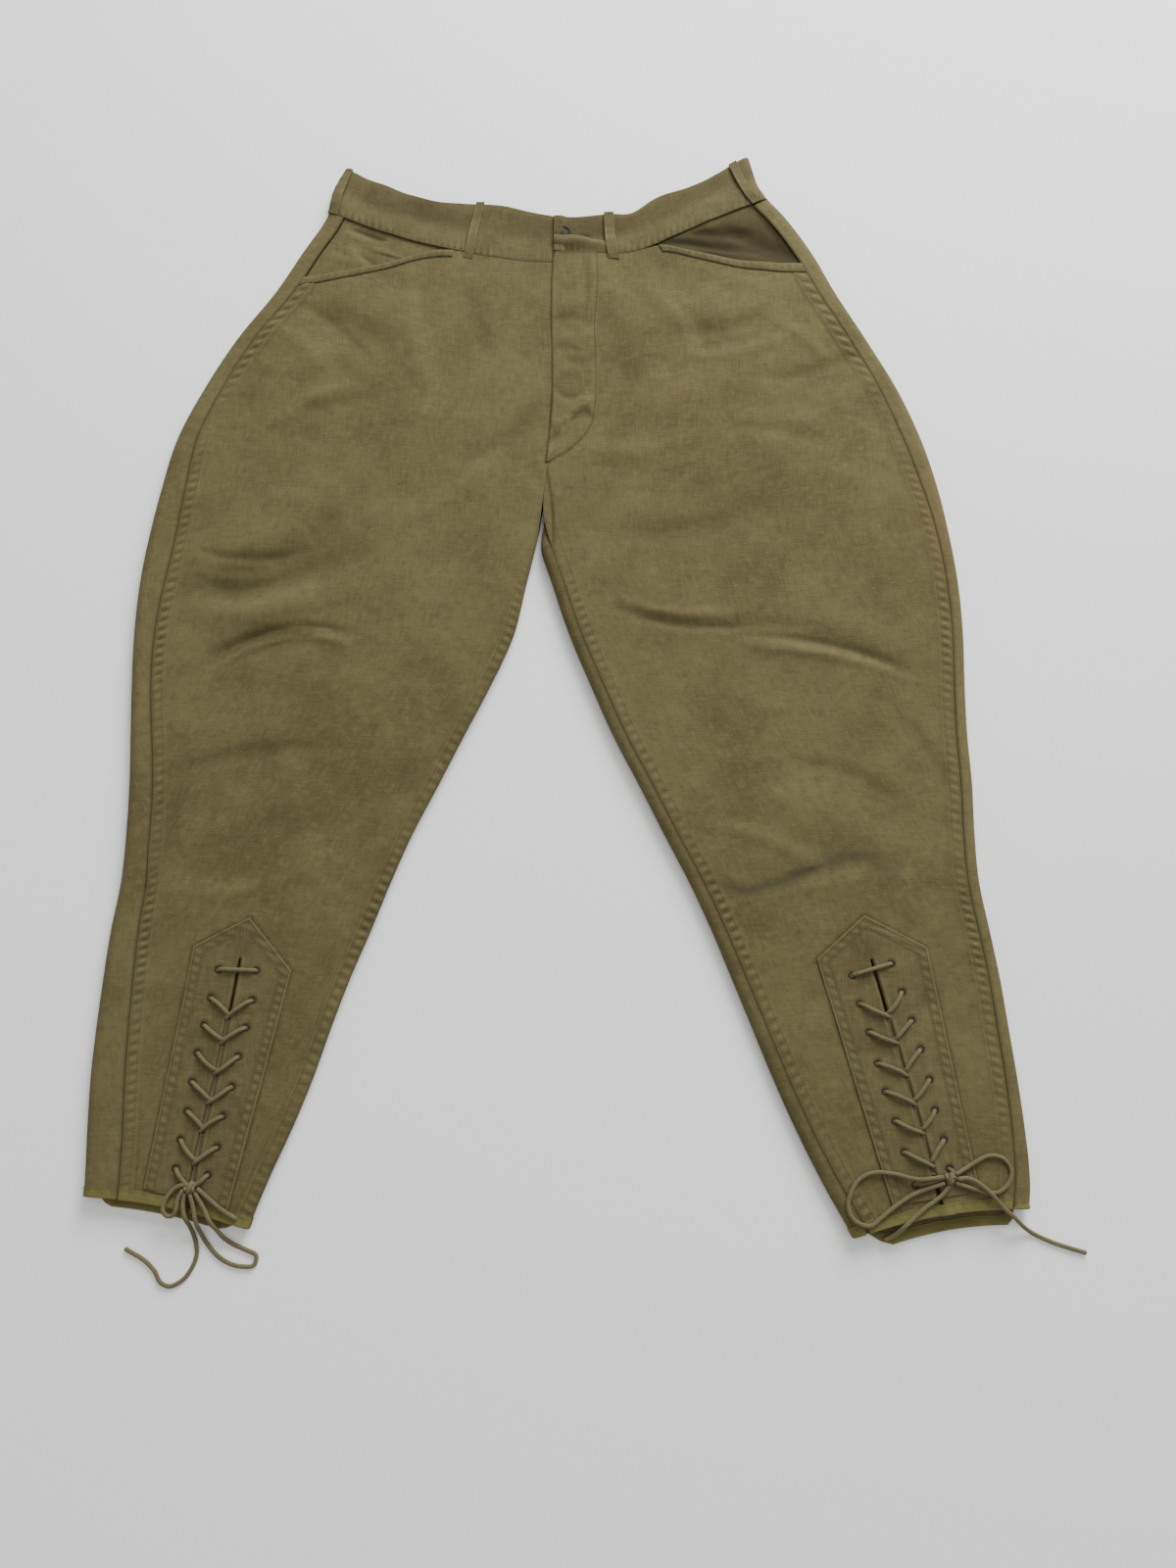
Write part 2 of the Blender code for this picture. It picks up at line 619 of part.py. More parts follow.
def make_welt(leg):
    """Stitched welt along the pocket mouth, on the front."""
    down, share = grid_of((0.0, 1.0), pocket_shares())
    lift = CLOTH / 2 + WELT_LIFT + TRIM / 2
    frame = front_lifted(leg, mouth_depth(leg, share) + WELT_DEPTH * down, share, lift)
    return wall(f"pocket_welt_{leg}", frame, TRIM, twill_light())


def on_top(x, y, lift):
    """Points over the upper cloth's outer face, and its normals."""
    step = 1.0
    points = np.stack([x, y, top_height(x, y) + lift], -1)
    slope_x = (top_height(x + step, y) - top_height(x - step, y)) / (2 * step)
    slope_y = (top_height(x, y + step) - top_height(x, y - step)) / (2 * step)
    normal = np.stack([-slope_x, -slope_y, np.ones_like(slope_x)], -1)
    return points, normal / np.linalg.norm(normal, axis=-1)[..., None]


def make_placket():
    """Fly placket over the centre seam, its right edge the J of the stitching."""
    levels = np.linspace(FLY_PLACKET[0][0], FLY_PLACKET[-1][0], 15)
    y, share = grid_of(levels, np.linspace(0, 1, 5))
    left = smooth_curve(column(FLY_PLACKET, 1), y)
    right = smooth_curve(column(FLY_PLACKET, 2), y)
    x = left + (right - left) * share
    return wall("fly_placket", on_top(x, y, GAP + TRIM / 2), TRIM, twill())


def make_lacing_panel(leg):
    """Pentagon sewn over the calf, open at the slit."""
    shape = LACING_PANEL[leg]
    (lx, ly), (rx, ry) = shape["shoulders"]
    ax, ay = shape["apex"]
    (fx, fy), (gx, gy) = shape["feet"]
    down, across = grid_of(np.linspace(0, 1, 9), np.linspace(0, 1, 9))
    peak = (ax - lx) / (rx - lx)
    top_x = lx + (rx - lx) * across
    top_y = np.interp(across, (0, peak, 1), (ly, ay, ry))
    foot_x = fx + (gx - fx) * across
    foot_y = fy + (gy - fy) * across
    x = top_x + (foot_x - top_x) * down
    y = top_y + (foot_y - top_y) * down
    made = wall(f"lacing_panel_{leg}", on_top(x, y, GAP + TRIM / 2), TRIM, twill_light())
    cut_slit(made, leg)
    return made


CUTTER_LOW = 6.0
CUTTER_HIGH = 26.0


def slit_cutter(leg):
    """Upright wedge that opens the slit, left out of the model."""
    name = f"slit_cutter_{leg}"
    found = bpy.data.objects.get(name)
    if found:
        return found
    verts = []
    for z in (CUTTER_LOW, CUTTER_HIGH):
        verts += [(x - half, y, z) for y, x, half in SLIT[leg]]
        verts += [(x + half, y, z) for y, x, half in reversed(SLIT[leg])]
    count = len(verts) // 2
    faces = [tuple(range(count)), tuple(range(2 * count - 1, count - 1, -1))]
    faces += [(k, (k + 1) % count, count + (k + 1) % count, count + k) for k in range(count)]
    made = link_mesh(name, verts, faces, twill_dark(), smooth=False)
    made.hide_render = True
    made.display_type = "WIRE"
    return made


def cut_slit(target, leg):
    """Open the slit in a calf piece."""
    cut = target.modifiers.new("slit", "BOOLEAN")
    cut.operation = "DIFFERENCE"
    cut.solver = "EXACT"
    cut.object = slit_cutter(leg)


def binding(name, frame, above):
    """Folded tape round a cloth edge: a U carried along the edge's points."""
    edge, normal = frame
    inward = above - edge
    inward = inward - normal * np.sum(inward * normal, axis=-1)[:, None]
    inward = inward / np.linalg.norm(inward, axis=-1)[:, None]
    near = CLOTH / 2 + GAP
    far = near + TAPE
    nose = GAP + TAPE
    profile = ((TAPE_WIDTH, near), (TAPE_WIDTH, far), (-nose, far), (-nose, -far),
               (TAPE_WIDTH, -far), (TAPE_WIDTH, -near), (-GAP, -near), (-GAP, near))
    size = len(profile)
    verts = []
    for k in range(len(edge)):
        verts += [edge[k] + inward[k] * a + normal[k] * b for a, b in profile]
    faces = []
    for k in range(len(edge) - 1):
        for m in range(size):
            n = (m + 1) % size
            faces.append((k * size + m, k * size + n, (k + 1) * size + n, (k + 1) * size + m))
    for base in (0, (len(edge) - 1) * size):
        for corner in ((0, 1, 2, 7), (7, 2, 3, 6), (6, 3, 4, 5)):
            faces.append(tuple(base + m for m in corner))
    return link_mesh(name, verts, faces, mustard_tape())


def trimmed(frame, above, cut):
    """Shorten a row of edge points by a cut at both ends."""
    edge, normal = frame
    for end, beside in ((0, 1), (-1, -2)):
        run = edge[beside] - edge[end]
        step = run * cut / np.linalg.norm(run)
        edge[end] = edge[end] + step
        above[end] = above[end] + step
    return (edge, normal), above


def slit_share(leg, side):
    """Share across the front's hem where the slit's side lies."""
    shares = np.linspace(0, 1, 401)
    hem, _ = front_frame(leg, 1.0, shares)
    middle = smooth_curve(column(SLIT[leg], 1), hem[:, 1])
    half = smooth_curve(column(SLIT[leg], 2), hem[:, 1]) + GAP
    out = 1 if leg == "right" else -1
    return float(np.interp(0, (hem[:, 0] - middle) * out - side * half, shares))


def make_front_binding(leg, part):
    """Hem tape of the front, on one side of the slit."""
    first, last = (0.0, slit_share(leg, -1)) if part == "inner" else (slit_share(leg, 1), 1.0)
    inside = [share for share in FRONT_SHARES if first + 0.005 < share < last - 0.005]
    shares = np.array([first, *inside, last])
    above, _ = front_frame(leg, LEG_ROWS[-2], shares)
    frame, above = trimmed(front_frame(leg, 1.0, shares), above, GAP)
    return binding(f"hem_tape_front_{leg}_{part}", frame, above)


def make_back_binding(leg):
    """Hem tape of the back, round both of its rolled edges."""
    points, normal = back_frame(leg, LEG_ROWS[-2:])
    frame, above = trimmed((points[1], normal[1]), points[0], GAP)
    return binding(f"hem_tape_back_{leg}", frame, above)


LOOP_LEVELS = (0.0, -0.012, -0.024, -0.036, -0.048, -0.0572)
LOOP_TAIL = 6.0
BAND_MIDDLE = -BAND_RISE / 2


def make_belt_loop(name, leg, foot, head):
    """Belt loop over the waistband, standing off it in the middle."""
    half = LOOP_WIDTH / 2 / float(tube_length(leg, BAND_MIDDLE, BAND_CLOTH))
    s, across = grid_of(LOOP_LEVELS, (-half, 0.0, half))
    up = np.clip(-s / BAND_RISE, 0, 1)
    grid, normal = band_frame(leg, s, foot + (head - foot) * up + across, 1)
    up = up[..., None]
    lift = BAND_CLOTH / 2 + GAP + TRIM / 2 + LOOP_STAND * np.sin(math.pi * up)
    grid = grid + normal * lift
    if "front" in name:
        run = grid[0] - grid[1]
        tail = grid[0] + run / np.linalg.norm(run, axis=-1)[:, None] * LOOP_TAIL
        tail[:, 2] = grid[0][:, 2] + GAP
        grid = np.concatenate([tail[None], grid])
        normal = np.concatenate([normal[:1], normal])
    return wall(name, (grid, normal), TRIM, twill_light())


def make_button():
    """Metal waist button lying on the band at the fly."""
    level = float(top_height(BUTTON["x"], BUTTON["y"])) + BUTTON["over"]
    bpy.ops.mesh.primitive_cylinder_add(
        vertices=20, radius=BUTTON["radius"] * MM, depth=BUTTON["thick"] * MM,
        location=placed((BUTTON["x"], BUTTON["y"], level + BUTTON["thick"] / 2)))
    made = bpy.context.object
    made.name = "waist_button"
    made.data.materials.append(button_metal())
    soften = made.modifiers.new("rim", "BEVEL")
    soften.width = 0.0006
    soften.segments = 2
    soften.limit_method = "ANGLE"
    made.data.shade_smooth()
    made.data.set_sharp_from_angle(angle=math.radians(40))
    return made


def smooth_route(points, step):
    """Evenly spaced points on a smooth curve through the route's own points."""
    points = np.asarray(points, float)
    lengths = np.linalg.norm(np.diff(points, axis=0), axis=1)
    at = np.concatenate([[0], np.cumsum(lengths)])
    fine = np.linspace(0, at[-1], 40 * len(points))
    path = np.stack([smooth_curve(list(zip(at, points[:, k])), fine) for k in range(3)], -1)
    run = np.concatenate([[0], np.cumsum(np.linalg.norm(np.diff(path, axis=0), axis=1))])
    count = max(int(round(run[-1] / step)), 4)
    even = np.linspace(0, run[-1], count + 1)
    return np.stack([np.interp(even, run, path[:, k]) for k in range(3)], -1)


def cord(name, points, resolution=2):
    """Round lace along points in millimetres, with filled ends."""
    data = bpy.data.curves.new(name, "CURVE")
    data.dimensions = "3D"
    data.bevel_depth = LACE_RADIUS * MM
    data.bevel_resolution = resolution
    data.use_fill_caps = True
    line = data.splines.new("POLY")
    line.points.add(len(points) - 1)
    for spot, point in zip(line.points, points):
        spot.co = (*placed(point), 1.0)
    data.materials.append(lace_cotton())
    made = bpy.data.objects.new(name, data)
    bpy.context.scene.collection.objects.link(made)
    return made


def make_rung(leg, row):
    """One crossing of the lace: a straight bar at the top, a V below it at each other pair."""
    lx, ly, rx, ry = EYELETS[leg][row]
    share = np.linspace(0, 1, 9)
    x = lx + (rx - lx) * share
    drop = 0.0 if row in (0, len(EYELETS[leg]) - 1) else RUNG_DROP
    y = ly + (ry - ly) * share - drop * (1 - np.abs(2 * share - 1) ** 1.3)
    lift = GAP + TRIM + GAP + LACE_RADIUS
    arch = RUNG_ARCH * ease(0.0, 0.125, np.minimum(share, 1 - share))
    z = top_height(x, y) + lift + arch
    return cord(f"lace_rung_{leg}_{row + 1}", np.stack([x, y, z], -1), 1)


def make_knot(leg):
    """Tied centre of a bow."""
    x, y, z = KNOTS[leg]
    bpy.ops.mesh.primitive_uv_sphere_add(segments=12, ring_count=8, radius=1.0)
    made = bpy.context.object
    made.name = f"lace_knot_{leg}"
    for vert in made.data.vertices:
        vert.co = [c * size * MM for c, size in zip(vert.co, KNOT_SIZE)]
    made.location = placed((x, y, z))
    made.data.materials.append(lace_cotton())
    made.data.shade_smooth()
    return made


def build():
    """Make every piece."""
    clear_scene()
    for leg in ("left", "right"):
        make_front(leg)
        make_back(leg)
        make_band_front(leg)
        make_facing(leg)
        make_welt(leg)
        make_lacing_panel(leg)
        make_front_binding(leg, "inner")
        make_front_binding(leg, "outer")
        make_back_binding(leg)
        make_knot(leg)
        for row in range(len(EYELETS[leg])):
            make_rung(leg, row)
    make_band_back()
    make_placket()
    make_button()
    for name, (leg, foot, head) in BELT_LOOPS.items():
        make_belt_loop(name, leg, foot, head)
    for name, route in LACE_ROUTES.items():
        cord(name, smooth_route(route, ROUTE_STEP))


build()
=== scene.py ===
"""Looks of the lace-up riding breeches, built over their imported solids.

Lengths in tables and functions are millimetres in the layout, where +Y points to the waist, +X to
the viewer's right and z = 0 is the surface. placed() turns them into metres in the frame.
A place on a leg is s, from the waist seam (0) to the hem (1), and r, the way round the flattened
tube from the leg's inner edge.
"""
import math

import bpy
import numpy as np
from bpy.props import FloatProperty, FloatVectorProperty, PointerProperty
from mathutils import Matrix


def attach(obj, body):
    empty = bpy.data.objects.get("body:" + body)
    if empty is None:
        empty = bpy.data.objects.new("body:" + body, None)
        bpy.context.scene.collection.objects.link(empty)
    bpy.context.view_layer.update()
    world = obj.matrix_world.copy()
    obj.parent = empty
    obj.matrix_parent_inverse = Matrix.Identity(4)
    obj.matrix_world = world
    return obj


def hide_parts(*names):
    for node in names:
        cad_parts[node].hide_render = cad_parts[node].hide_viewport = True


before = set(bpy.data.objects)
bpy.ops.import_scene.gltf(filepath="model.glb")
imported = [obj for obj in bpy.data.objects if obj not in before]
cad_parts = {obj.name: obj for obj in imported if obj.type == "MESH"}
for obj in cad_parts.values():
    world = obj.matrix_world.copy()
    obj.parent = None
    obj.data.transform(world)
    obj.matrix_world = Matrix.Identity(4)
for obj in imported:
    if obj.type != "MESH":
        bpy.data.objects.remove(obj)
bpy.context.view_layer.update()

bl_info = {
    "name": "Lace-up breeches",
    "version": (1, 0, 0),
    "blender": (4, 5, 0),
    "location": "3D View > Sidebar > Breeches",
    "description": "Makes the cloth, trims and laces of a pair of riding breeches laid flat",
    "category": "Add Mesh",
}

MM = 0.001
LEGS = ("left", "right")

CLOTH = 1.5
BAND_CLOTH = 2.4
TRIM = 1.2
TAPE = 0.8
GAP = 0.3
EDGE_INSET = 0.9
ROLL = 9.0
BACK_LIE = CLOTH / 2
TAPE_WIDTH = 8.0
BAND_RISE = 0.056
BAND_SEAM = 0.0007
HEM_LIFT = GAP + TAPE
HEM_RISE_FROM = 0.966
HEM_RISE_TO = 0.986
SETTLE_FROM = 4.0
SETTLE_TO = 34.0
ROLL_MARGIN = 1.5
ROLL_HALF_HEIGHT = 6.4
LAYOUT_Y = -0.7
LEG_LENGTH = 965.0

# Distance of each outseam in from the leg's outer edge: s, distance. The way to it round the
# rolled edge is OUTSEAM_ROUND longer.
OUTSEAM_IN = {
    "left": (
        (0.0, 17), (0.06, 18), (0.13, 19), (0.22, 21.5), (0.3, 26), (0.36, 27), (0.42, 22),
        (0.48, 19.5), (0.56, 22), (0.66, 23), (0.75, 26), (0.84, 29), (0.92, 31), (1.0, 29),
    ),
    "right": (
        (0.0, 17), (0.06, 17), (0.13, 17.5), (0.2, 19.5), (0.26, 18), (0.32, 14), (0.42, 12),
        (0.6, 11.5), (0.9, 11.5), (1.0, 14),
    ),
}
OUTSEAM_ROUND = 3.3
INSEAM_AT = {"left": 1.5, "right": 14.5}
CROTCH_TOP = 152.0
CROTCH_LOW = 84.0
CROTCH_LINE = ((58, -2.2), (103, -5.5), (122, -6.2), (148, -8.7), (179, -13.8))
CROTCH_BLEND_FROM = 0.75
CROTCH_BLEND_TO = 0.1

# Outlines of each leg: y, inner edge x, outer edge x.
LEG_OUTLINE = {
    "left": (
        (540, -4, -210), (511, -4, -219), (482, -4, -230), (455, -4, -237), (413, -4, -260),
        (368, -4, -284), (313, -4, -320), (259, -4, -348), (207, -8, -369), (155, -14, -380),
        (104, -20.6, -388), (55, -31, -393), (6, -42, -394), (-41, -62, -392), (-88, -85, -389),
        (-134, -107, -386), (-179, -129, -385), (-223, -147, -386), (-266, -163, -391),
        (-309, -180, -394), (-350, -194, -396), (-391, -207, -397), (-431, -222, -396),
        (-471, -239, -394), (-540, -264, -390),
    ),
    "right": (
        (540, -4, 188), (511, -4, 195), (482, -4, 205), (455, -4, 226), (413, -4, 252),
        (368, -4, 273), (313, -4, 302), (259, -4, 329), (207, -8, 348), (155, -14, 361),
        (104, -19.8, 369), (55, -6, 374), (6, 10, 375), (-41, 29, 373), (-88, 49, 372),
        (-134, 72, 373), (-179, 94, 372), (-223, 116, 373), (-266, 135, 379),
        (-309, 152, 385), (-350, 168, 389), (-391, 184, 393), (-431, 201, 396),
        (-471, 220, 397), (-540, 258, 386),
    ),
}

# Lines across each leg: s, y at the inner edge, y at the outer edge, bow of the middle, and
# skew, which raises one half of the line and lowers the other.
LEG_LINES = {
    "left": (
        (-0.056, 449, 508, -11, 5), (0.0, 398, 457, -12, 0), (0.06, 345, 393, -6, 0),
        (0.13, 280, 312, -2, 0), (0.22, 197, 215, 0, 0), (0.35, 78, 85, 0, 0),
        (0.5, -60, -60, 0, 0), (0.65, -197, -195, 0, 0), (0.8, -333, -325, 2, 0),
        (0.9, -424, -408, 3, 0), (1.0, -512, -486, 5, 0),
    ),
    "right": (
        (-0.056, 449, 524, -18, 0), (0.0, 402, 473, -14, -5), (0.06, 347, 404, -7, -2),
        (0.13, 281, 316, -2, 0), (0.22, 197, 215, 0, 0), (0.35, 78, 85, 0, 0),
        (0.5, -60, -60, 0, 0), (0.65, -197, -195, 0, 0), (0.8, -335, -326, 2, 0),
        (0.9, -428, -412, 4, 0), (1.0, -519, -496, 7, 0),
    ),
}

# Height of the upper cloth over the surface: y, z.
CROWN = (
    (540, 15), (455, 15), (400, 14), (330, 15), (200, 16), (50, 16), (-100, 15), (-250, 14),
    (-400, 13), (-540, 13),
)

# Largest folds: start x, y, end x, y, bow, width, height. A valley has a height below zero.
FOLDS = (
    (-150, 215, -338, 20, 14, 20, -4.5),
    (-118, 240, -318, 62, 12, 22, 3.5),
    (-352, 52, -172, 96, -16, 17, -4.0),
    (-338, 30, -215, 48, -8, 14, 3.0),
    (-334, -34, -226, 2, 10, 12, -3.2),
    (-300, 250, -210, 300, 6, 15, 2.4),
    (-245, 346, -165, 296, 8, 15, -2.4),
    (34, 70, 318, -6, -12, 20, 2.4),
    (150, 20, 326, -36, 12, 13, -2.8),
    (60, 330, 250, 372, -14, 26, 2.6),
    (90, 250, 300, 90, 26, 34, 2.4),
    (170, -150, 300, -196, 14, 20, 2.0),
    (-200, -150, -330, -190, -12, 22, 1.8),
)

# Creases too fine for the solids, in the same columns.
CREASES = (
    (-292, 206, -206, 262, 5, 7, 1.1),
    (-262, 236, -170, 258, -6, 8, -0.8),
    (-322, -18, -246, 14, 6, 3.2, -1.5),
    (-318, -28, -240, 4, 6, 3.0, 1.2),
    (-240, 14, -196, 6, 3, 3.5, -1.1),
    (-232, 2, -192, -6, 3, 3.0, 0.9),
    (-353, 196, -366, 262, 4, 3.0, -1.3),
    (-336, 88, -236, 92, -9, 5, -1.2),
    (-332, 66, -250, 76, -9, 6, 1.0),
    (-258, 352, -184, 286, 7, 4.0, -1.1),
    (-290, 330, -226, 270, 7, 8, 0.9),
    (-148, 372, -126, 258, -6, 9, 0.8),
    (-92, 378, -64, 282, -4, 7, -0.7),
    (-40, 330, -110, 232, 6, 8, 0.9),
    (-20, 240, -96, 176, 6, 9, -1.0),
    (-60, 190, -150, 120, 8, 10, 0.9),
    (-200, -100, -352, -128, -8, 8, -0.9),
    (-212, -208, -330, -236, 7, 9, 0.8),
    (-340, -140, -372, -260, 4, 6, -0.8),
    (40, 352, 66, 246, 5, 7, -0.8),
    (84, 372, 130, 300, 6, 8, 0.9),
    (112, 318, 206, 344, -8, 8, -1.0),
    (120, 292, 226, 316, -7, 7, 0.9),
    (196, 268, 288, 298, -7, 7, -0.9),
    (214, 330, 262, 286, 4, 6, 0.8),
    (150, 214, 262, 196, 8, 9, -0.9),
    (30, 190, 150, 214, -8, 10, 0.9),
    (36, 108, 190, 132, -10, 12, -0.9),
    (52, 40, 172, 26, -8, 5, 1.0),
    (60, 30, 180, 14, -8, 4, -1.0),
    (178, 4, 318, -28, 8, 4.0, -1.3),
    (186, -8, 322, -40, 8, 4.5, 1.1),
    (204, -116, 300, -146, 8, 7, -0.9),
    (130, -172, 232, -214, 8, 7, 0.8),
    (300, -60, 352, -150, 6, 7, -0.8),
    (210, -232, 330, -222, 6, 8, 0.7),
)
FOLD_START = -0.15
FOLD_FULL = 0.3

# The pocket mouth: share of the way from the fly to the outseam, and how far down it lies, in s.
POCKET_MOUTH = {
    "left": ((0.0, 0.0), (0.4, 0.0), (0.48, 0.001), (0.6, 0.010), (0.72, 0.031), (0.86, 0.050),
             (1.0, 0.066)),
    "right": ((0.0, 0.0), (0.4, 0.0), (0.48, 0.003), (0.6, 0.022), (0.74, 0.042), (0.88, 0.055),
              (1.0, 0.062)),
}
POCKET_START = 0.48
MOUTH_REACH = 0.17
WELT_DEPTH = 0.0085
WELT_LIFT = 0.6
FACING_UNDER = 0.013
FACING_DROP = 0.7

# Fly placket: y, left edge x, right edge x. The right edge is the J of its stitching.
FLY_PLACKET = (
    (402, -8.0, 38), (380, -9.0, 39), (328, -9.0, 36), (285, -8.0, 37), (240, -8.0, 36),
    (218, -9.5, 32), (202, -11.0, 22), (188, -12.5, 7), (179, -13.8, -8),
)

# Lacing panels: apex, shoulders and feet of each pentagon, x and y.
LACING_PANEL = {
    "left": {"apex": (-268, -255), "shoulders": ((-315, -280), (-229, -301)),
             "feet": ((-342, -480), (-271, -498))},
    "right": {"apex": (268, -253), "shoulders": ((225, -291), (321, -281)),
              "feet": ((279, -494), (352, -482))},
}

# The open slit in each calf: y, x of its middle, half its width.
SLIT = {
    "left": ((-290, -274, 0.9), (-335, -280, 1.2), (-393, -289, 1.5), (-445, -298, 1.7),
             (-475, -302, 1.9), (-530, -308, 2.0)),
    "right": ((-291, 272, 0.9), (-319, 279, 1.1), (-356, 288, 1.4), (-418, 303, 1.6),
              (-475, 316, 1.8), (-535, 327, 2.0)),
}

# Eyelet pairs down each slit: left eyelet x, y, right eyelet x, y.
EYELETS = {
    "left": ((-292, -300, -259, -301), (-297, -324, -261, -326), (-301, -347, -265, -349),
             (-305, -370, -270, -373), (-308, -394, -274, -398), (-310, -418, -280, -422),
             (-314, -441, -283, -447), (-316, -464, -289, -469)),
    "right": ((255, -305, 289, -295), (260, -329, 297, -319), (267, -353, 304, -343),
              (273, -379, 310, -367), (278, -402, 316, -392), (285, -426, 319, -417),
              (291, -451, 325, -441), (299, -477, 328, -464)),
}
STRAND_DROP = 14.5

BELT_LOOPS = {
    "belt_loop_front_left": ("left", 0.376, 0.357),
    "belt_loop_front_right": ("right", 0.24, 0.243),
    "belt_loop_side_left": ("left", 0.965, 0.97),
    "belt_loop_side_right": ("right", 0.922, 0.894),
}
LOOP_WIDTH = 9.0
LOOP_STAND = 1.5
LOOP_TAIL = 6.0
BAND_MIDDLE = -BAND_RISE / 2
# The right waist seam lies higher at the fly: height, x where it starts and where it is full.
WAIST_STEP = (8.0, 76.0, 26.0)

BUTTON = {"x": 2.0, "y": 431.0, "radius": 8.5, "thick": 2.2, "over": 0.1}

# The free parts of both laces: route points x, y, z.
KNOTS = {"left": (-302.0, -479.0, 17.6), "right": (327.0, -472.0, 17.6)}
LACE_ROUTES = {
    "lace_loop_left_outer": (
        (-307.8, -476.6, 17.4), (-313, -478.5, 16.9), (-319, -484, 16.5), (-323, -491, 16.2),
        (-323.5, -497.5, 16.0), (-320.5, -501.5, 14.8), (-315.5, -501, 15.0), (-313, -496.5, 16.2),
        (-312, -489, 16.6), (-308.2, -481.0, 17.2)),
    "lace_loop_left_inner": (
        (-297.6, -483.4, 17.4), (-293, -490.5, 16.9), (-288.5, -498, 16.4), (-285.5, -504, 16.1),
        (-283.3, -508.5, 13.4), (-280.3, -513, 9.2), (-275.5, -519.5, 5.2), (-267, -525.5, 2.3),
        (-256, -530, 1.6), (-248, -534.5, 1.6), (-249, -541, 1.6), (-261, -542.5, 1.6),
        (-274, -538.5, 1.6), (-285, -530, 1.7), (-291.5, -521.5, 3.4), (-294.6, -514, 8.0),
        (-296, -508.5, 12.8), (-296.8, -503.5, 16.1), (-298, -497, 16.7), (-301.8, -484.6, 17.4)),
    "lace_end_left_outer": (
        (-305.8, -483.6, 17.2), (-307.4, -490.5, 16.7), (-307, -496.5, 16.4),
        (-305.9, -501.5, 15.8), (-304.4, -506, 12.4), (-302.5, -511, 8.2), (-300.5, -517.5, 4.4),
        (-299, -524, 2.0),
        (-297.5, -532, 1.6), (-301, -544, 1.6), (-309, -554, 1.6), (-319, -558, 1.6),
        (-326, -555, 1.6), (-331, -547, 1.6), (-338, -540, 1.6), (-357, -529, 1.6)),
    "lace_end_left_inner": (
        (-295.8, -480.0, 17.4), (-289, -485.5, 16.9), (-280.5, -492.5, 16.4),
        (-272, -498.5, 16.1), (-263, -503.5, 16.0)),
    "lace_loop_right_inner": (
        (320.9, -470.6, 18.4), (313, -471.4, 19.4), (304, -472.4, 19.8), (295, -471.6, 18.4),
        (285, -469, 17.0), (276, -467.5, 16.6), (268, -467, 16.0), (260, -468.5, 15.1),
        (252, -473, 14.9),
        (245, -483, 14.9), (242, -494, 14.9), (245, -503, 15.4), (252, -508, 16.0),
        (260, -509, 16.0), (267, -504, 16.0), (279, -495, 16.3), (297, -484, 16.6),
        (311, -479, 17.0), (321.8, -475.8, 17.2)),
    "lace_end_right_inner": (
        (326, -477.6, 17.0), (321, -484, 16.5), (313, -490, 16.3), (306, -494.5, 16.2),
        (299, -500, 16.2), (293, -505, 16.2), (288.2, -509.5, 15.6), (284.4, -513.8, 12.2),
        (279.5, -518, 8.4), (272, -521.5, 6.2)),
    "lace_loop_right_outer": (
        (332.2, -468.4, 17.6), (341, -463.5, 17.0), (350, -458.5, 16.4), (361, -454, 15.2),
        (373, -456, 14.9), (379, -466, 14.9), (375, -477, 14.9), (366, -483, 15.4),
        (356, -482.5, 16.3), (345, -479.5, 16.8), (332.0, -475.6, 17.2)),
    "lace_end_right_outer": (
        (333.4, -472, 18.8), (341, -471.4, 18.4), (348, -474, 18.8), (354, -478.5, 19.6),
        (360, -484, 19.4), (365.5, -490, 17.4), (371, -496, 16.0), (377, -501, 16.0),
        (382.5, -506, 12.4), (388.5, -511, 6.8), (396, -516, 2.6), (411, -523, 1.6),
        (426, -528, 1.6), (440, -532, 1.6)),
}


class ClothSettings(bpy.types.PropertyGroup):
    """Cloth of the breeches."""

    twill: FloatVectorProperty(
        name="Twill", description="Colour of the leg cloth", subtype="COLOR", size=3,
        min=0, max=1, default=(0.101, 0.087, 0.037))
    band: FloatVectorProperty(
        name="Band and trims", description="Colour of the waistband, welts and calf panels",
        subtype="COLOR", size=3, min=0, max=1, default=(0.098, 0.084, 0.037))
    tape: FloatVectorProperty(
        name="Hem tape", description="Colour of the tape round the hems", subtype="COLOR",
        size=3, min=0, max=1, default=(0.142, 0.127, 0.043))
    thread: FloatVectorProperty(
        name="Thread", description="Colour of the stitching", subtype="COLOR", size=3,
        min=0, max=1, default=(0.150, 0.130, 0.066))
    pucker: FloatProperty(
        name="Pucker", description="Depth of the puckers along the felled seams",
        subtype="DISTANCE", unit="LENGTH", min=0, max=0.001, default=0.00078)
    weave: FloatProperty(
        name="Weave", description="Distance from one rib of the twill to the next",
        subtype="DISTANCE", unit="LENGTH", min=0.0003, max=0.003, default=0.0011)


class LaceSettings(bpy.types.PropertyGroup):
    """The laces, their eyelets and the waist button."""

    color: FloatVectorProperty(
        name="Lace", description="Colour of the cotton lace", subtype="COLOR", size=3,
        min=0, max=1, default=(0.135, 0.118, 0.058))
    diameter: FloatProperty(
        name="Diameter", description="Thickness of the lace", subtype="DISTANCE",
        unit="LENGTH", min=0.001, max=0.006, default=0.0036)
    metal: FloatVectorProperty(
        name="Metal", description="Colour of the eyelets and the button", subtype="COLOR",
        size=3, min=0, max=1, default=(0.024, 0.021, 0.014))


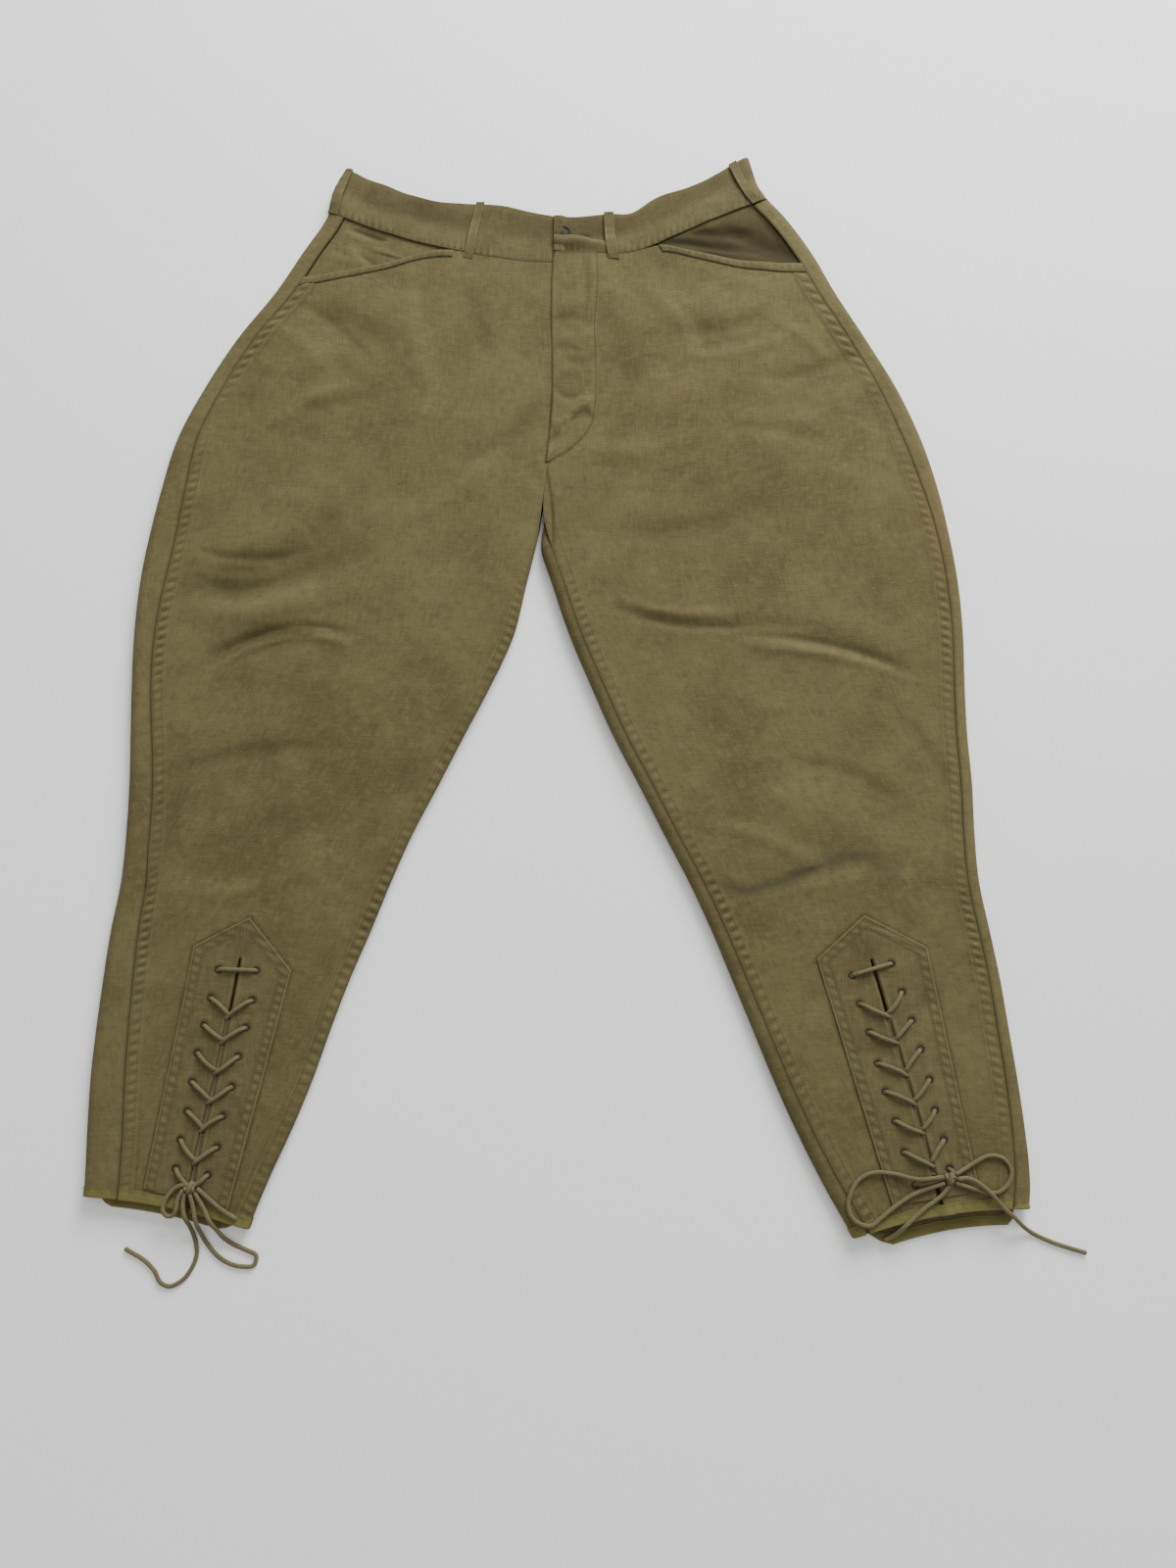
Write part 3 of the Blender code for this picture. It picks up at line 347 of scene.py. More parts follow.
class StageSettings(bpy.types.PropertyGroup):
    """Floor, light and camera."""

    floor: FloatVectorProperty(
        name="Floor", description="Colour of the floor", subtype="COLOR", size=3,
        min=0, max=1, default=(0.94, 0.94, 0.935))
    key: FloatProperty(
        name="Key light", description="Power of the light beyond the waist", unit="POWER",
        min=0, default=140.0)
    fill: FloatProperty(
        name="Fill light", description="Power of the wide light overhead", unit="POWER",
        min=0, default=26.0)
    sky: FloatProperty(
        name="Sky", description="Strength of the even light from all round", min=0,
        default=0.42)


def cloth_settings():
    return bpy.context.scene.breeches_cloth


def lace_settings():
    return bpy.context.scene.breeches_lace


def smooth_curve(rows, at):
    """Cubic through rows of (place, value), straight past both ends."""
    knots, values = np.array(sorted(rows), float).T
    slopes = np.gradient(values, knots)
    at = np.asarray(at, float)
    inside = np.clip(at, knots[0], knots[-1])
    i = np.clip(np.searchsorted(knots, inside, side="right") - 1, 0, len(knots) - 2)
    width = knots[i + 1] - knots[i]
    t = (inside - knots[i]) / width
    value = (
        (2 * t**3 - 3 * t**2 + 1) * values[i]
        + (t**3 - 2 * t**2 + t) * width * slopes[i]
        + (3 * t**2 - 2 * t**3) * values[i + 1]
        + (t**3 - t**2) * width * slopes[i + 1]
    )
    past = np.where(at > knots[-1], slopes[-1], slopes[0])
    return value + (at - inside) * past


def column(rows, index):
    """Rows of (first column, named column)."""
    return [(row[0], row[index]) for row in rows]


def plan_area(x, y, keep=slice(None)):
    """Flat area, in square metres, of a grid as it lies: half the cross product of the two
    diagonals of each cell that is kept."""
    across_x, across_y = x[1:, 1:] - x[:-1, :-1], y[1:, 1:] - y[:-1, :-1]
    back_x, back_y = x[1:, :-1] - x[:-1, 1:], y[1:, :-1] - y[:-1, 1:]
    cells = np.abs(across_x * back_y - across_y * back_x) / 2
    return float(cells[keep].sum()) * MM * MM


def ease(low, high, value):
    """Smooth step from 0 at low to 1 at high."""
    t = np.clip((np.asarray(value, float) - low) / (high - low), 0, 1)
    return t * t * (3 - 2 * t)


def bell(value, middle, width):
    """Gaussian hump: exp of minus the square of the distance over the width."""
    return np.exp(-(((np.asarray(value, float) - middle) / width) ** 2))


def folds(x, y, rows):
    """Sum over the rows of a bell across a bowed line, fading out at its ends."""
    total = np.zeros(np.broadcast(x, y).shape)
    for x0, y0, x1, y1, bow, width, height in rows:
        length = math.hypot(x1 - x0, y1 - y0)
        along_x = (x1 - x0) / length
        along_y = (y1 - y0) / length
        u = ((x - x0) * along_x + (y - y0) * along_y) / length
        side = (y - y0) * along_x - (x - x0) * along_y
        inside = np.clip(u, 0, 1)
        across = bell(side, bow * 4 * inside * (1 - inside), width)
        ends = ease(FOLD_START, FOLD_FULL, u) * ease(FOLD_START, FOLD_FULL, 1 - u)
        total = total + height * across * ends
    return total


# Slow unevenness of cloth that has been worn: wave number x, y, phase, height in millimetres.
RIPPLES = (
    (0.052, 0.031, 0.4, 0.20), (-0.037, 0.066, 1.9, 0.18), (0.083, -0.045, 2.7, 0.13),
    (0.021, 0.112, 4.1, 0.11), (0.139, 0.058, 5.3, 0.07), (-0.124, 0.097, 0.9, 0.07),
    (0.172, -0.141, 3.3, 0.045), (0.061, 0.219, 1.2, 0.045),
)


def ripple(x, y):
    """Sum of sines over bent coordinates, so that no two waves look alike."""
    bent_x = x + 9 * np.sin(0.031 * y + 0.6) + 4 * np.sin(0.083 * y)
    bent_y = y + 8 * np.sin(0.036 * x + 1.1) + 4 * np.sin(0.071 * x + 2.0)
    total = np.zeros(np.broadcast(x, y).shape)
    for kx, ky, phase, height in RIPPLES:
        total = total + height * np.sin(kx * bent_x + ky * bent_y + phase)
    return total


def top_height(x, y):
    """Height of the outer face of the upper cloth: its crown, folds, creases and ripple."""
    lively = 1 + 0.9 * ease(-400, -300, y)
    fine = folds(x, y, CREASES) + ripple(x, y)
    broad = folds(x, y, FOLDS) * (1 + 0.3 * ease(-400, -300, y))
    return smooth_curve(CROWN, y) + broad + lively * fine


def leg_section(leg, s, wall):
    """The line across a leg at s: its inner end, the way across it, the span of its middle wall,
    and the heights of its lower and upper walls."""
    y_in = smooth_curve(column(LEG_LINES[leg], 1), s)
    y_out = smooth_curve(column(LEG_LINES[leg], 2), s)
    x_in = smooth_curve(column(LEG_OUTLINE[leg], 1), y_in)
    x_out = smooth_curve(column(LEG_OUTLINE[leg], 2), y_out)
    across = np.stack([x_out - x_in, y_out - y_in], -1)
    length = np.linalg.norm(across, axis=-1)
    low = BACK_LIE + (wall - CLOTH) / 2 + HEM_LIFT * ease(HEM_RISE_FROM, HEM_RISE_TO, s)
    high = smooth_curve(CROWN, (y_in + y_out) / 2) - wall / 2
    return x_in, y_in, across / length[..., None], length - 2 * EDGE_INSET, low, high


def roll_length(half):
    """Quarter of the way round an edge."""
    return math.pi / 2 * np.sqrt((ROLL**2 + half**2) / 2)


def tube_point(leg, s, r, way, wall=CLOTH):
    """Middle of a wall at s, and r round from the inner edge: over the top with way 1, and
    under with way -1. Each edge is a half ellipse, and the stretch between is nearly flat."""
    s, r = np.broadcast_arrays(np.asarray(s, float), np.asarray(r, float))
    x_in, y_in, across, span, low, high = leg_section(leg, s, wall)
    bow = smooth_curve(column(LEG_LINES[leg], 3), s)
    skew = smooth_curve(column(LEG_LINES[leg], 4), s)
    half = (high - low) / 2
    quarter = roll_length(half)
    way_round = 2 * quarter + span - 2 * ROLL
    turn_in = np.clip(r / quarter, -1, 1) * math.pi / 2
    turn_out = np.clip((way_round - r) / quarter, -1, 1) * math.pi / 2
    d_in = ROLL * (1 - np.cos(turn_in)) + np.maximum(np.abs(r) - quarter, 0)
    d_out = ROLL * (1 - np.cos(turn_out)) + np.maximum(np.abs(way_round - r) - quarter, 0)
    near = r < way_round / 2
    d = np.where(near, d_in, span - d_out)
    level = np.where(near, np.sin(turn_in), np.sin(turn_out)) * way
    flat_d = r - way * INSEAM_AT[leg] - GAP / 2
    part = flat_d / (way_round / 2)
    open_top = 1 - ease(CROTCH_TOP, CROTCH_LOW, y_in)
    blend = open_top * ease(CROTCH_BLEND_FROM, CROTCH_BLEND_TO, part)
    d = d + (flat_d - EDGE_INSET + GAP / 2 - d) * blend
    level = level + (way - level) * blend
    place = d + EDGE_INSET
    share = place / (span + 2 * EDGE_INSET)
    x = x_in + across[..., 0] * place
    y = y_in + across[..., 1] * place + bow * 4 * share * (1 - share)
    y = y + skew * max(way, 0) * np.sin(2 * math.pi * share)
    z = (low + high) / 2 + half * level
    from_edge = np.minimum(place, span - place) + (SETTLE_TO - SETTLE_FROM) * blend
    lie = ease(0.0, 1.0, level) * ease(SETTLE_FROM, SETTLE_TO, from_edge)
    z = z + (top_height(x, y) - wall / 2 - high) * lie
    return np.stack([x, y, z], -1)


def tube_length(leg, s, wall=CLOTH):
    """Way over the top of a leg from the inner edge to the outer, at s."""
    _, _, _, span, low, high = leg_section(leg, s, wall)
    return 2 * roll_length((high - low) / 2) + span - 2 * ROLL


def outseam_at(leg, s):
    """Way from the outer edge to the outseam."""
    return smooth_curve(OUTSEAM_IN[leg], s) + OUTSEAM_ROUND


def front_width(leg, s):
    """Way across the front panel at s."""
    return tube_length(leg, s) - outseam_at(leg, s) - GAP - INSEAM_AT[leg] - GAP / 2


def waist_step(x):
    """How much higher the right waist seam lies near the fly."""
    height, start, full = WAIST_STEP
    return height * ease(start, full, x)


def front_point(leg, s, share):
    """Middle of the front panel's wall at a share of the way from inseam or fly to outseam."""
    r = INSEAM_AT[leg] + GAP / 2 + front_width(leg, s) * share
    point = tube_point(leg, s, r, 1)
    if leg == "right":
        point[..., 1] += waist_step(point[..., 0]) * ease(0.05, 0.0, s)
    return point


def mouth_depth(leg, share):
    """How far down, in s, a front starts below the waist seam."""
    return np.maximum(smooth_curve(POCKET_MOUTH[leg], share), 0.0)


def grid_of(rows, cols):
    """Two arrays of row and column places."""
    return np.meshgrid(np.asarray(rows, float), np.asarray(cols, float), indexing="ij")


def normals_of(grid, upward=None):
    """Unit normals of a grid of points from its neighbours, turned the way that upward points."""
    down = np.gradient(grid, axis=0)
    right = np.gradient(grid, axis=1)
    normal = np.cross(right, down)
    normal = normal / np.maximum(np.linalg.norm(normal, axis=-1), 1e-9)[..., None]
    if upward is not None and np.sum(normal * upward) < 0:
        normal = -normal
    return normal


def placed(points):
    """Points in millimetres in the layout, as metres in the frame."""
    return (np.asarray(points, float) + (0.0, LAYOUT_Y, 0.0)) * MM


def new_piece(name, verts, faces, mat, nodes=(), uv=None, marks=None, sharp=60, caps=()):
    """Put a finished mesh into the scene, riding on the part's one body. uv and marks are given
    for each vertex, and caps are lists of corners that close it."""
    mesh = bpy.data.meshes.new(name)
    mesh.from_pydata(placed(verts).tolist(), [], faces.tolist() + list(caps))
    corners = np.zeros(len(mesh.loops), np.int32)
    mesh.loops.foreach_get("vertex_index", corners)
    if uv is not None:
        layer = mesh.uv_layers.new(name="UVMap")
        flat = uv[corners].copy()
        if caps:
            round_it = flat[:faces.size].reshape(-1, 4, 2)
            wraps = np.ptp(round_it[..., 0], axis=1) > 0.5
            round_it[wraps, :, 0] += round_it[wraps, :, 0] < 0.5
        layer.data.foreach_set("uv", flat.astype(np.float32).ravel())
    for key, values in (marks or {}).items():
        mark = mesh.attributes.new(key, "FLOAT", "POINT")
        mark.data.foreach_set("value", values.astype(np.float32).ravel())
    mesh.materials.append(mat)
    mesh.shade_smooth()
    mesh.set_sharp_from_angle(angle=math.radians(sharp))
    made = bpy.data.objects.new(name, mesh)
    bpy.context.scene.collection.objects.link(made)
    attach(made, "root")
    if nodes:
        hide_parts(*nodes)
    return made


def shell(grid, normal, thick, relief=0.0, keep=None, thin=None):
    """Closed wall round a grid: an outer face moved out by half the thickness and the relief, an
    inner face, and a rim along every open edge. keep says which cells there are."""
    rows, cols = grid.shape[:2]
    relief = np.broadcast_to(relief, (rows, cols))[..., None]
    half = np.full((rows, cols, 1), thick / 2)
    if thin is not None:
        half = half * thin[..., None]
    outer = (grid + normal * (half + relief)).reshape(-1, 3)
    inner = (grid + normal * (0.6 * relief - half)).reshape(-1, 3)
    i, j = np.meshgrid(np.arange(rows - 1), np.arange(cols - 1), indexing="ij")
    a = i * cols + j
    quads = np.stack([a, a + 1, a + cols + 1, a + cols], -1)
    quads = quads.reshape(-1, 4) if keep is None else quads[keep]
    p = grid.reshape(-1, 3)
    up = np.cross(p[quads[:, 1]] - p[quads[:, 0]], p[quads[:, 3]] - p[quads[:, 0]])
    if np.sum(up * normal.reshape(-1, 3)[quads[:, 0]]) < 0:
        quads = quads[:, ::-1]
    edges = np.concatenate([quads[:, [k, (k + 1) % 4]] for k in range(4)])
    count = rows * cols
    key = edges[:, 0].astype(np.int64) * count + edges[:, 1]
    back = edges[:, 1].astype(np.int64) * count + edges[:, 0]
    rim = edges[~np.isin(key, back)]
    sides = np.stack([rim[:, 1], rim[:, 0], rim[:, 0] + count, rim[:, 1] + count], -1)
    faces = np.concatenate([quads, quads[:, ::-1] + count, sides])
    return np.concatenate([outer, inner]), faces


def both(values, shape):
    """The same values for both faces of a shell."""
    flat = np.broadcast_to(values, shape).reshape(-1)
    return np.concatenate([flat, flat])


def cloth_piece(name, grid, normal, thick, mat, nodes, uv, relief=0.0, keep=None,
                marks=None, thin=None):
    """A shell with its flat pattern as UV in metres and its marks: wear, stains, rust, and grime mixed
    with painted shade.
    """
    verts, faces = shell(grid, normal, thick, relief, keep, thin)
    shape = grid.shape[:2]
    flat = np.stack([both(uv[0], shape), both(uv[1], shape)], -1) * MM
    given = {"worn": 0.0, "shade_and_grime": 0.0, "stain": 0.0, "rust": 0.0, **(marks or {})}
    kept = {key: both(value, shape) for key, value in given.items()}
    used = np.unique(faces)
    renumber = np.zeros(len(verts), np.int64)
    renumber[used] = np.arange(len(used))
    kept = {key: value[used] for key, value in kept.items()}
    return new_piece(name, verts[used], renumber[faces], mat, nodes, flat[used], kept)


def ring_faces(rows, sides):
    """Quads between rings of points, facing out where the rings turn clockwise as seen along
    their run, and a cap on each end."""
    i, j = np.meshgrid(np.arange(rows - 1), np.arange(sides), indexing="ij")
    n = (j + 1) % sides
    quads = np.stack([i * sides + j, (i + 1) * sides + j, (i + 1) * sides + n, i * sides + n], -1)
    last = (rows - 1) * sides
    return quads.reshape(-1, 4), [list(range(sides)), list(range(last + sides - 1, last - 1, -1))]


def tube(path, radius, sides=10):
    """Points, quads, caps and UV of a closed tube along a path. Frames are carried along the path
    so that they don't twist, and its radius eases down at both ends."""
    path = np.asarray(path, float)
    head = path[0] - path[1]
    tail = path[-1] - path[-2]
    head = path[0] + head / np.linalg.norm(head) * radius * 0.5
    tail = path[-1] + tail / np.linalg.norm(tail) * radius * 0.5
    full = np.concatenate([[head], path, [tail]])
    radii = np.full(len(full), float(radius))
    radii[[0, -1]] = radius * 0.35
    along = np.gradient(full, axis=0)
    along = along / np.linalg.norm(along, axis=1)[:, None]
    side = np.zeros_like(full)
    first = np.cross(along[0], (0.0, 0.0, 1.0))
    side[0] = first / np.linalg.norm(first)
    for k in range(1, len(full)):
        turned_side = side[k - 1] - along[k] * np.dot(side[k - 1], along[k])
        side[k] = turned_side / np.linalg.norm(turned_side)
    up = np.cross(side, along)
    angle = np.linspace(0, 2 * math.pi, sides, endpoint=False)[None, :, None]
    ring = np.cos(angle) * side[:, None] + np.sin(angle) * up[:, None]
    verts = (full[:, None] + ring * radii[:, None, None]).reshape(-1, 3)
    run = np.concatenate([[0], np.cumsum(np.linalg.norm(np.diff(full, axis=0), axis=1))])
    quads, caps = ring_faces(len(full), sides)
    u = np.tile(np.linspace(0, 1, sides, endpoint=False), len(full))
    return verts, quads, caps, np.stack([u, np.repeat(run * MM, sides)], -1)


def lace_piece(name, tubes, nodes):
    """Several tubes of lace as one piece."""
    verts, quads, caps, flat = [], [], [], []
    base = 0
    for points, faces, ends, uv in tubes:
        verts.append(points)
        quads.append(faces + base)
        caps += [[k + base for k in cap] for cap in ends]
        flat.append(uv)
        base += len(points)
    return new_piece(name, np.concatenate(verts), np.concatenate(quads), lace_material(),
                     nodes, np.concatenate(flat), None, 60, caps)


class Nodes:
    """Short ways to add and join shader nodes in one material."""

    def __init__(self, name):
        self.mat = bpy.data.materials.new(name)
        self.mat.use_nodes = True
        self.tree = self.mat.node_tree
        self.shader = self.tree.nodes["Principled BSDF"]
        self.coords = self.tree.nodes.new("ShaderNodeTexCoord")
        self.bumped = None

    def add(self, kind, **values):
        node = self.tree.nodes.new(kind)
        for key, value in values.items():
            if hasattr(node, key):
                setattr(node, key, value)
            else:
                node.inputs[key.replace("_", " ").title()].default_value = value
        return node

    def link(self, source, target):
        self.tree.links.new(source, target)

    def place(self, output, scale=(1, 1, 1), turn=0.0):
        """Coordinates of the piece, stretched and turned."""
        mapping = self.add("ShaderNodeMapping")
        mapping.inputs["Scale"].default_value = scale
        mapping.inputs["Rotation"].default_value = (0, 0, turn)
        self.link(self.coords.outputs[output], mapping.inputs["Vector"])
        return mapping.outputs["Vector"]

    def noise(self, vector, scale, detail=4.0, rough=0.55, distortion=0.0):
        """Noise from 0 to 1 at a scale, in features a metre."""
        node = self.add("ShaderNodeTexNoise")
        node.inputs["Scale"].default_value = scale
        node.inputs["Detail"].default_value = detail
        node.inputs["Roughness"].default_value = rough
        node.inputs["Distortion"].default_value = distortion
        self.link(vector, node.inputs["Vector"])
        return node.outputs["Fac"]

    def math(self, operation, first, second=None, clamp=False):
        node = self.add("ShaderNodeMath", operation=operation, use_clamp=clamp)
        for socket, value in zip(node.inputs, (first, second)):
            if value is None:
                continue
            if isinstance(value, (int, float)):
                socket.default_value = value
            else:
                self.link(value, socket)
        return node.outputs[0]

    def span(self, value, low, high, to_low=0.0, to_high=1.0):
        """Map a value's range low to high on to another, held at its ends."""
        node = self.add("ShaderNodeMapRange")
        for socket, number in zip(("From Min", "From Max", "To Min", "To Max"),
                                  (low, high, to_low, to_high)):
            node.inputs[socket].default_value = number
        self.link(value, node.inputs["Value"])
        return node.outputs["Result"]

    def mark(self, name):
        """A mark kept on the mesh."""
        return self.add("ShaderNodeAttribute", attribute_name=name).outputs["Fac"]

    def mix(self, share, first, second, blend="MIX"):
        """Mix two colours, each a socket or a tuple, by a share."""
        node = self.add("ShaderNodeMix", data_type="RGBA", blend_type=blend)
        for socket, value in ((node.inputs[0], share), (node.inputs[6], first),
                              (node.inputs[7], second)):
            if isinstance(value, (int, float)):
                socket.default_value = value
            elif isinstance(value, (tuple, list)):
                socket.default_value = (*value[:3], 1.0)
            else:
                self.link(value, socket)
        return node.outputs[2]

    def bump(self, height, distance, strength):
        """Add a bump, height 0 to 1 over a distance in metres."""
        node = self.add("ShaderNodeBump")
        node.inputs["Distance"].default_value = distance
        node.inputs["Strength"].default_value = strength
        self.link(height, node.inputs["Height"])
        if self.bumped is not None:
            self.link(self.bumped, node.inputs["Normal"])
        self.bumped = node.outputs["Normal"]

    def finish(self, color, roughness, metallic=0.0, sheen=0.0, sheen_tint=(1, 1, 1)):
        """Set the shader's own sockets."""
        shader = self.shader
        self.link(color, shader.inputs["Base Color"])
        if isinstance(roughness, (int, float)):
            shader.inputs["Roughness"].default_value = roughness
        else:
            self.link(roughness, shader.inputs["Roughness"])
        shader.inputs["Metallic"].default_value = metallic
        shader.inputs["Sheen Weight"].default_value = sheen
        shader.inputs["Sheen Roughness"].default_value = 0.5
        shader.inputs["Sheen Tint"].default_value = (*sheen_tint, 1.0)
        shader.inputs["Specular IOR Level"].default_value = 0.14
        if self.bumped is not None:
            self.link(self.bumped, shader.inputs["Normal"])
        return self.mat


def shade(color, factor, warm=0.0):
    """A colour made lighter or darker, and a little warmer."""
    r, g, b = (min(c * factor, 1.0) for c in color)
    return (min(r * (1 + warm), 1.0), g, b * (1 - warm))


def twill_material(name, color, pitch):
    """Worn cotton twill: slow mottling, slubs along both threads, diagonal ribs, rubbed seams,
    grime mixed with painted shade in the hollows, gaps and grooves, and the marks that are laid on the
    mesh."""
    found = bpy.data.materials.get(name)
    if found:
        return found
    n = Nodes(name)
    where = n.place("Object")
    cut = n.place("UV")
    patches = n.noise(where, 7.0, 3.0, 0.5, 0.6)
    clouds = n.noise(where, 26.0, 5.0, 0.6, 0.4)
    specks = n.noise(where, 150.0, 5.0, 0.65)
    slubs = n.noise(n.place("UV", (1.0, 0.06, 1.0)), 900.0, 3.0, 0.6)
    picks = n.noise(n.place("UV", (0.06, 1.0, 1.0)), 900.0, 3.0, 0.6)
    base = n.mix(n.span(patches, 0.36, 0.66), shade(color, 0.86, 0.03), shade(color, 1.14, -0.03))
    base = n.mix(n.span(clouds, 0.42, 0.68, 0.0, 0.55), base, shade(color, 1.28, 0.01))
    base = n.mix(n.span(clouds, 0.48, 0.3, 0.0, 0.5), base, shade(color, 0.72, 0.03))
    base = n.mix(n.span(specks, 0.52, 0.7, 0.0, 0.5), base, shade(color, 1.55))
    base = n.mix(n.span(specks, 0.46, 0.28, 0.0, 0.5), base, shade(color, 0.55))
    threads = n.math("ADD", n.math("MULTIPLY", slubs, 0.5), n.math("MULTIPLY", picks, 0.5))
    base = n.mix(n.span(threads, 0.48, 0.62, 0.0, 0.42), base, shade(color, 1.5))
    base = n.mix(n.span(threads, 0.5, 0.36, 0.0, 0.42), base, shade(color, 0.55))
    wave = n.add("ShaderNodeTexWave", wave_type="BANDS", bands_direction="DIAGONAL",
                 wave_profile="SIN")
    wave.inputs["Scale"].default_value = 0.628 / (pitch * math.sqrt(2))
    wave.inputs["Distortion"].default_value = 1.2
    wave.inputs["Detail"].default_value = 2.0
    wave.inputs["Detail Scale"].default_value = 1.5
    n.link(cut, wave.inputs["Vector"])
    ribs = wave.outputs["Fac"]
    base = n.mix(n.span(ribs, 0.0, 1.0, 0.16, 0.0), base, shade(color, 0.62))
    worn = n.mark("worn")
    rubbed = n.math("MULTIPLY", n.span(worn, 0.0, 1.0), n.span(specks, 0.3, 0.6, 0.45, 1.0))
    base = n.mix(rubbed, base, shade(color, 1.62, -0.01))
    # Painted shade: this mark darkens hollows, gaps, grooves and edges where shade falls, mixed with
    # some real grime.
    shade_and_grime = n.math("MULTIPLY", n.span(n.mark("shade_and_grime"), 0.0, 1.0),
                   n.span(clouds, 0.2, 0.6, 0.75, 1.0))
    base = n.mix(shade_and_grime, base, shade(color, 0.34, 0.04))
    base = n.mix(n.span(n.mark("stain"), 0.0, 1.0), base, (0.036, 0.031, 0.019))
    base = n.mix(n.span(n.mark("rust"), 0.0, 1.0), base, (0.150, 0.092, 0.045))
    n.bump(ribs, 0.00025, 0.45)
    n.bump(threads, 0.00035, 0.5)
    n.bump(specks, 0.0008, 0.4)
    n.bump(clouds, 0.0024, 0.35)
    return n.finish(base, n.span(specks, 0.3, 0.7, 0.84, 0.97), 0.0, 0.05, (0.8, 0.78, 0.5))


def tape_material():
    """Cotton tape: a plain cross weave, faded along its fold."""
    found = bpy.data.materials.get("hem_tape")
    if found:
        return found
    color = tuple(cloth_settings().tape)
    n = Nodes("hem_tape")
    where = n.place("Object")
    cut = n.place("UV")
    clouds = n.noise(where, 40.0, 4.0, 0.6)
    specks = n.noise(where, 260.0, 4.0, 0.6)
    base = n.mix(n.span(clouds, 0.3, 0.7), shade(color, 0.82, 0.03), shade(color, 1.16))
    base = n.mix(n.span(specks, 0.5, 0.75, 0.0, 0.35), base, shade(color, 1.35))
    base = n.mix(n.span(specks, 0.45, 0.25, 0.0, 0.35), base, shade(color, 0.66))
    ribs = n.add("ShaderNodeTexWave", wave_type="BANDS", bands_direction="Y")
    ribs.inputs["Scale"].default_value = 0.314 / 0.0008
    ribs.inputs["Distortion"].default_value = 0.8
    n.link(cut, ribs.inputs["Vector"])
    base = n.mix(n.span(ribs.outputs["Fac"], 0.0, 1.0, 0.2, 0.0), base, shade(color, 0.6))
    # Painted shade from the same mark: darker in the tape's stitch groove and pucker troughs, with
    # some grime.
    base = n.mix(n.span(n.mark("shade_and_grime"), 0.0, 1.0), base, shade(color, 0.4))
    base = n.mix(n.span(n.mark("worn"), 0.0, 1.0), base, shade(color, 1.5, -0.03))
    n.bump(ribs.outputs["Fac"], 0.0002, 0.4)
    n.bump(specks, 0.0004, 0.3)
    return n.finish(base, 0.88, 0.0, 0.1, (0.95, 0.9, 0.6))


def lace_material():
    """Braided cotton: two families of strands that wind round the lace opposite ways."""
    found = bpy.data.materials.get("braided_lace")
    if found:
        return found
    settings = lace_settings()
    color = tuple(settings.color)
    n = Nodes("braided_lace")
    where = n.place("Object")
    specks = n.noise(where, 420.0, 3.0, 0.6)
    clouds = n.noise(where, 60.0, 3.0, 0.6)
    split = n.add("ShaderNodeSeparateXYZ")
    n.link(n.coords.outputs["UV"], split.inputs["Vector"])
    round_it = n.math("MULTIPLY", split.outputs["X"], 8 * math.pi)
    along = n.math("MULTIPLY", split.outputs["Y"], 2 * math.pi / 0.0026)
    one = n.math("SINE", n.math("ADD", round_it, along))
    two = n.math("SINE", n.math("SUBTRACT", round_it, along))
    braid = n.span(n.math("MULTIPLY", one, two), -1.0, 1.0)
    base = n.mix(n.span(clouds, 0.3, 0.7), shade(color, 0.86, 0.02), shade(color, 1.12))
    base = n.mix(n.span(braid, 0.0, 0.55, 0.5, 0.0), base, shade(color, 0.45))
    base = n.mix(n.span(specks, 0.5, 0.75, 0.0, 0.4), base, shade(color, 1.35))
    n.bump(braid, 0.0004, 0.55)
    n.bump(specks, 0.0003, 0.3)
    return n.finish(base, 0.86, 0.0, 0.15, (0.95, 0.92, 0.75))


def thread_material():
    """Sewing thread: twisted plies, a little dusty."""
    found = bpy.data.materials.get("sewing_thread")
    if found:
        return found
    color = tuple(cloth_settings().thread)
    n = Nodes("sewing_thread")
    specks = n.noise(n.place("Object"), 900.0, 2.0, 0.6)
    clouds = n.noise(n.place("Object"), 30.0, 3.0, 0.6)
    base = n.mix(n.span(clouds, 0.3, 0.7), shade(color, 0.72), shade(color, 1.1))
    base = n.mix(n.span(specks, 0.4, 0.7, 0.0, 0.4), base, shade(color, 0.7))
    n.bump(specks, 0.0002, 0.4)
    return n.finish(base, 0.8)


def metal_material():
    """Aged dark metal: brown film, bare where it is rubbed."""
    found = bpy.data.materials.get("aged_metal")
    if found:
        return found
    color = tuple(lace_settings().metal)
    n = Nodes("aged_metal")
    where = n.place("Object")
    clouds = n.noise(where, 500.0, 5.0, 0.65)
    specks = n.noise(where, 2200.0, 3.0, 0.6)
    base = n.mix(n.span(clouds, 0.4, 0.65), color, shade(color, 1.9, 0.08))
    base = n.mix(n.span(specks, 0.6, 0.75, 0.0, 0.4), base, (0.11, 0.095, 0.06))
    n.bump(clouds, 0.0002, 0.3)
    return n.finish(base, n.span(clouds, 0.3, 0.7, 0.55, 0.75), 0.25)


def leg_twill():
    settings = cloth_settings()
    return twill_material("olive_twill_worn", tuple(settings.twill), settings.weave)


def band_twill():
    settings = cloth_settings()
    return twill_material("olive_twill_band", tuple(settings.band), settings.weave)


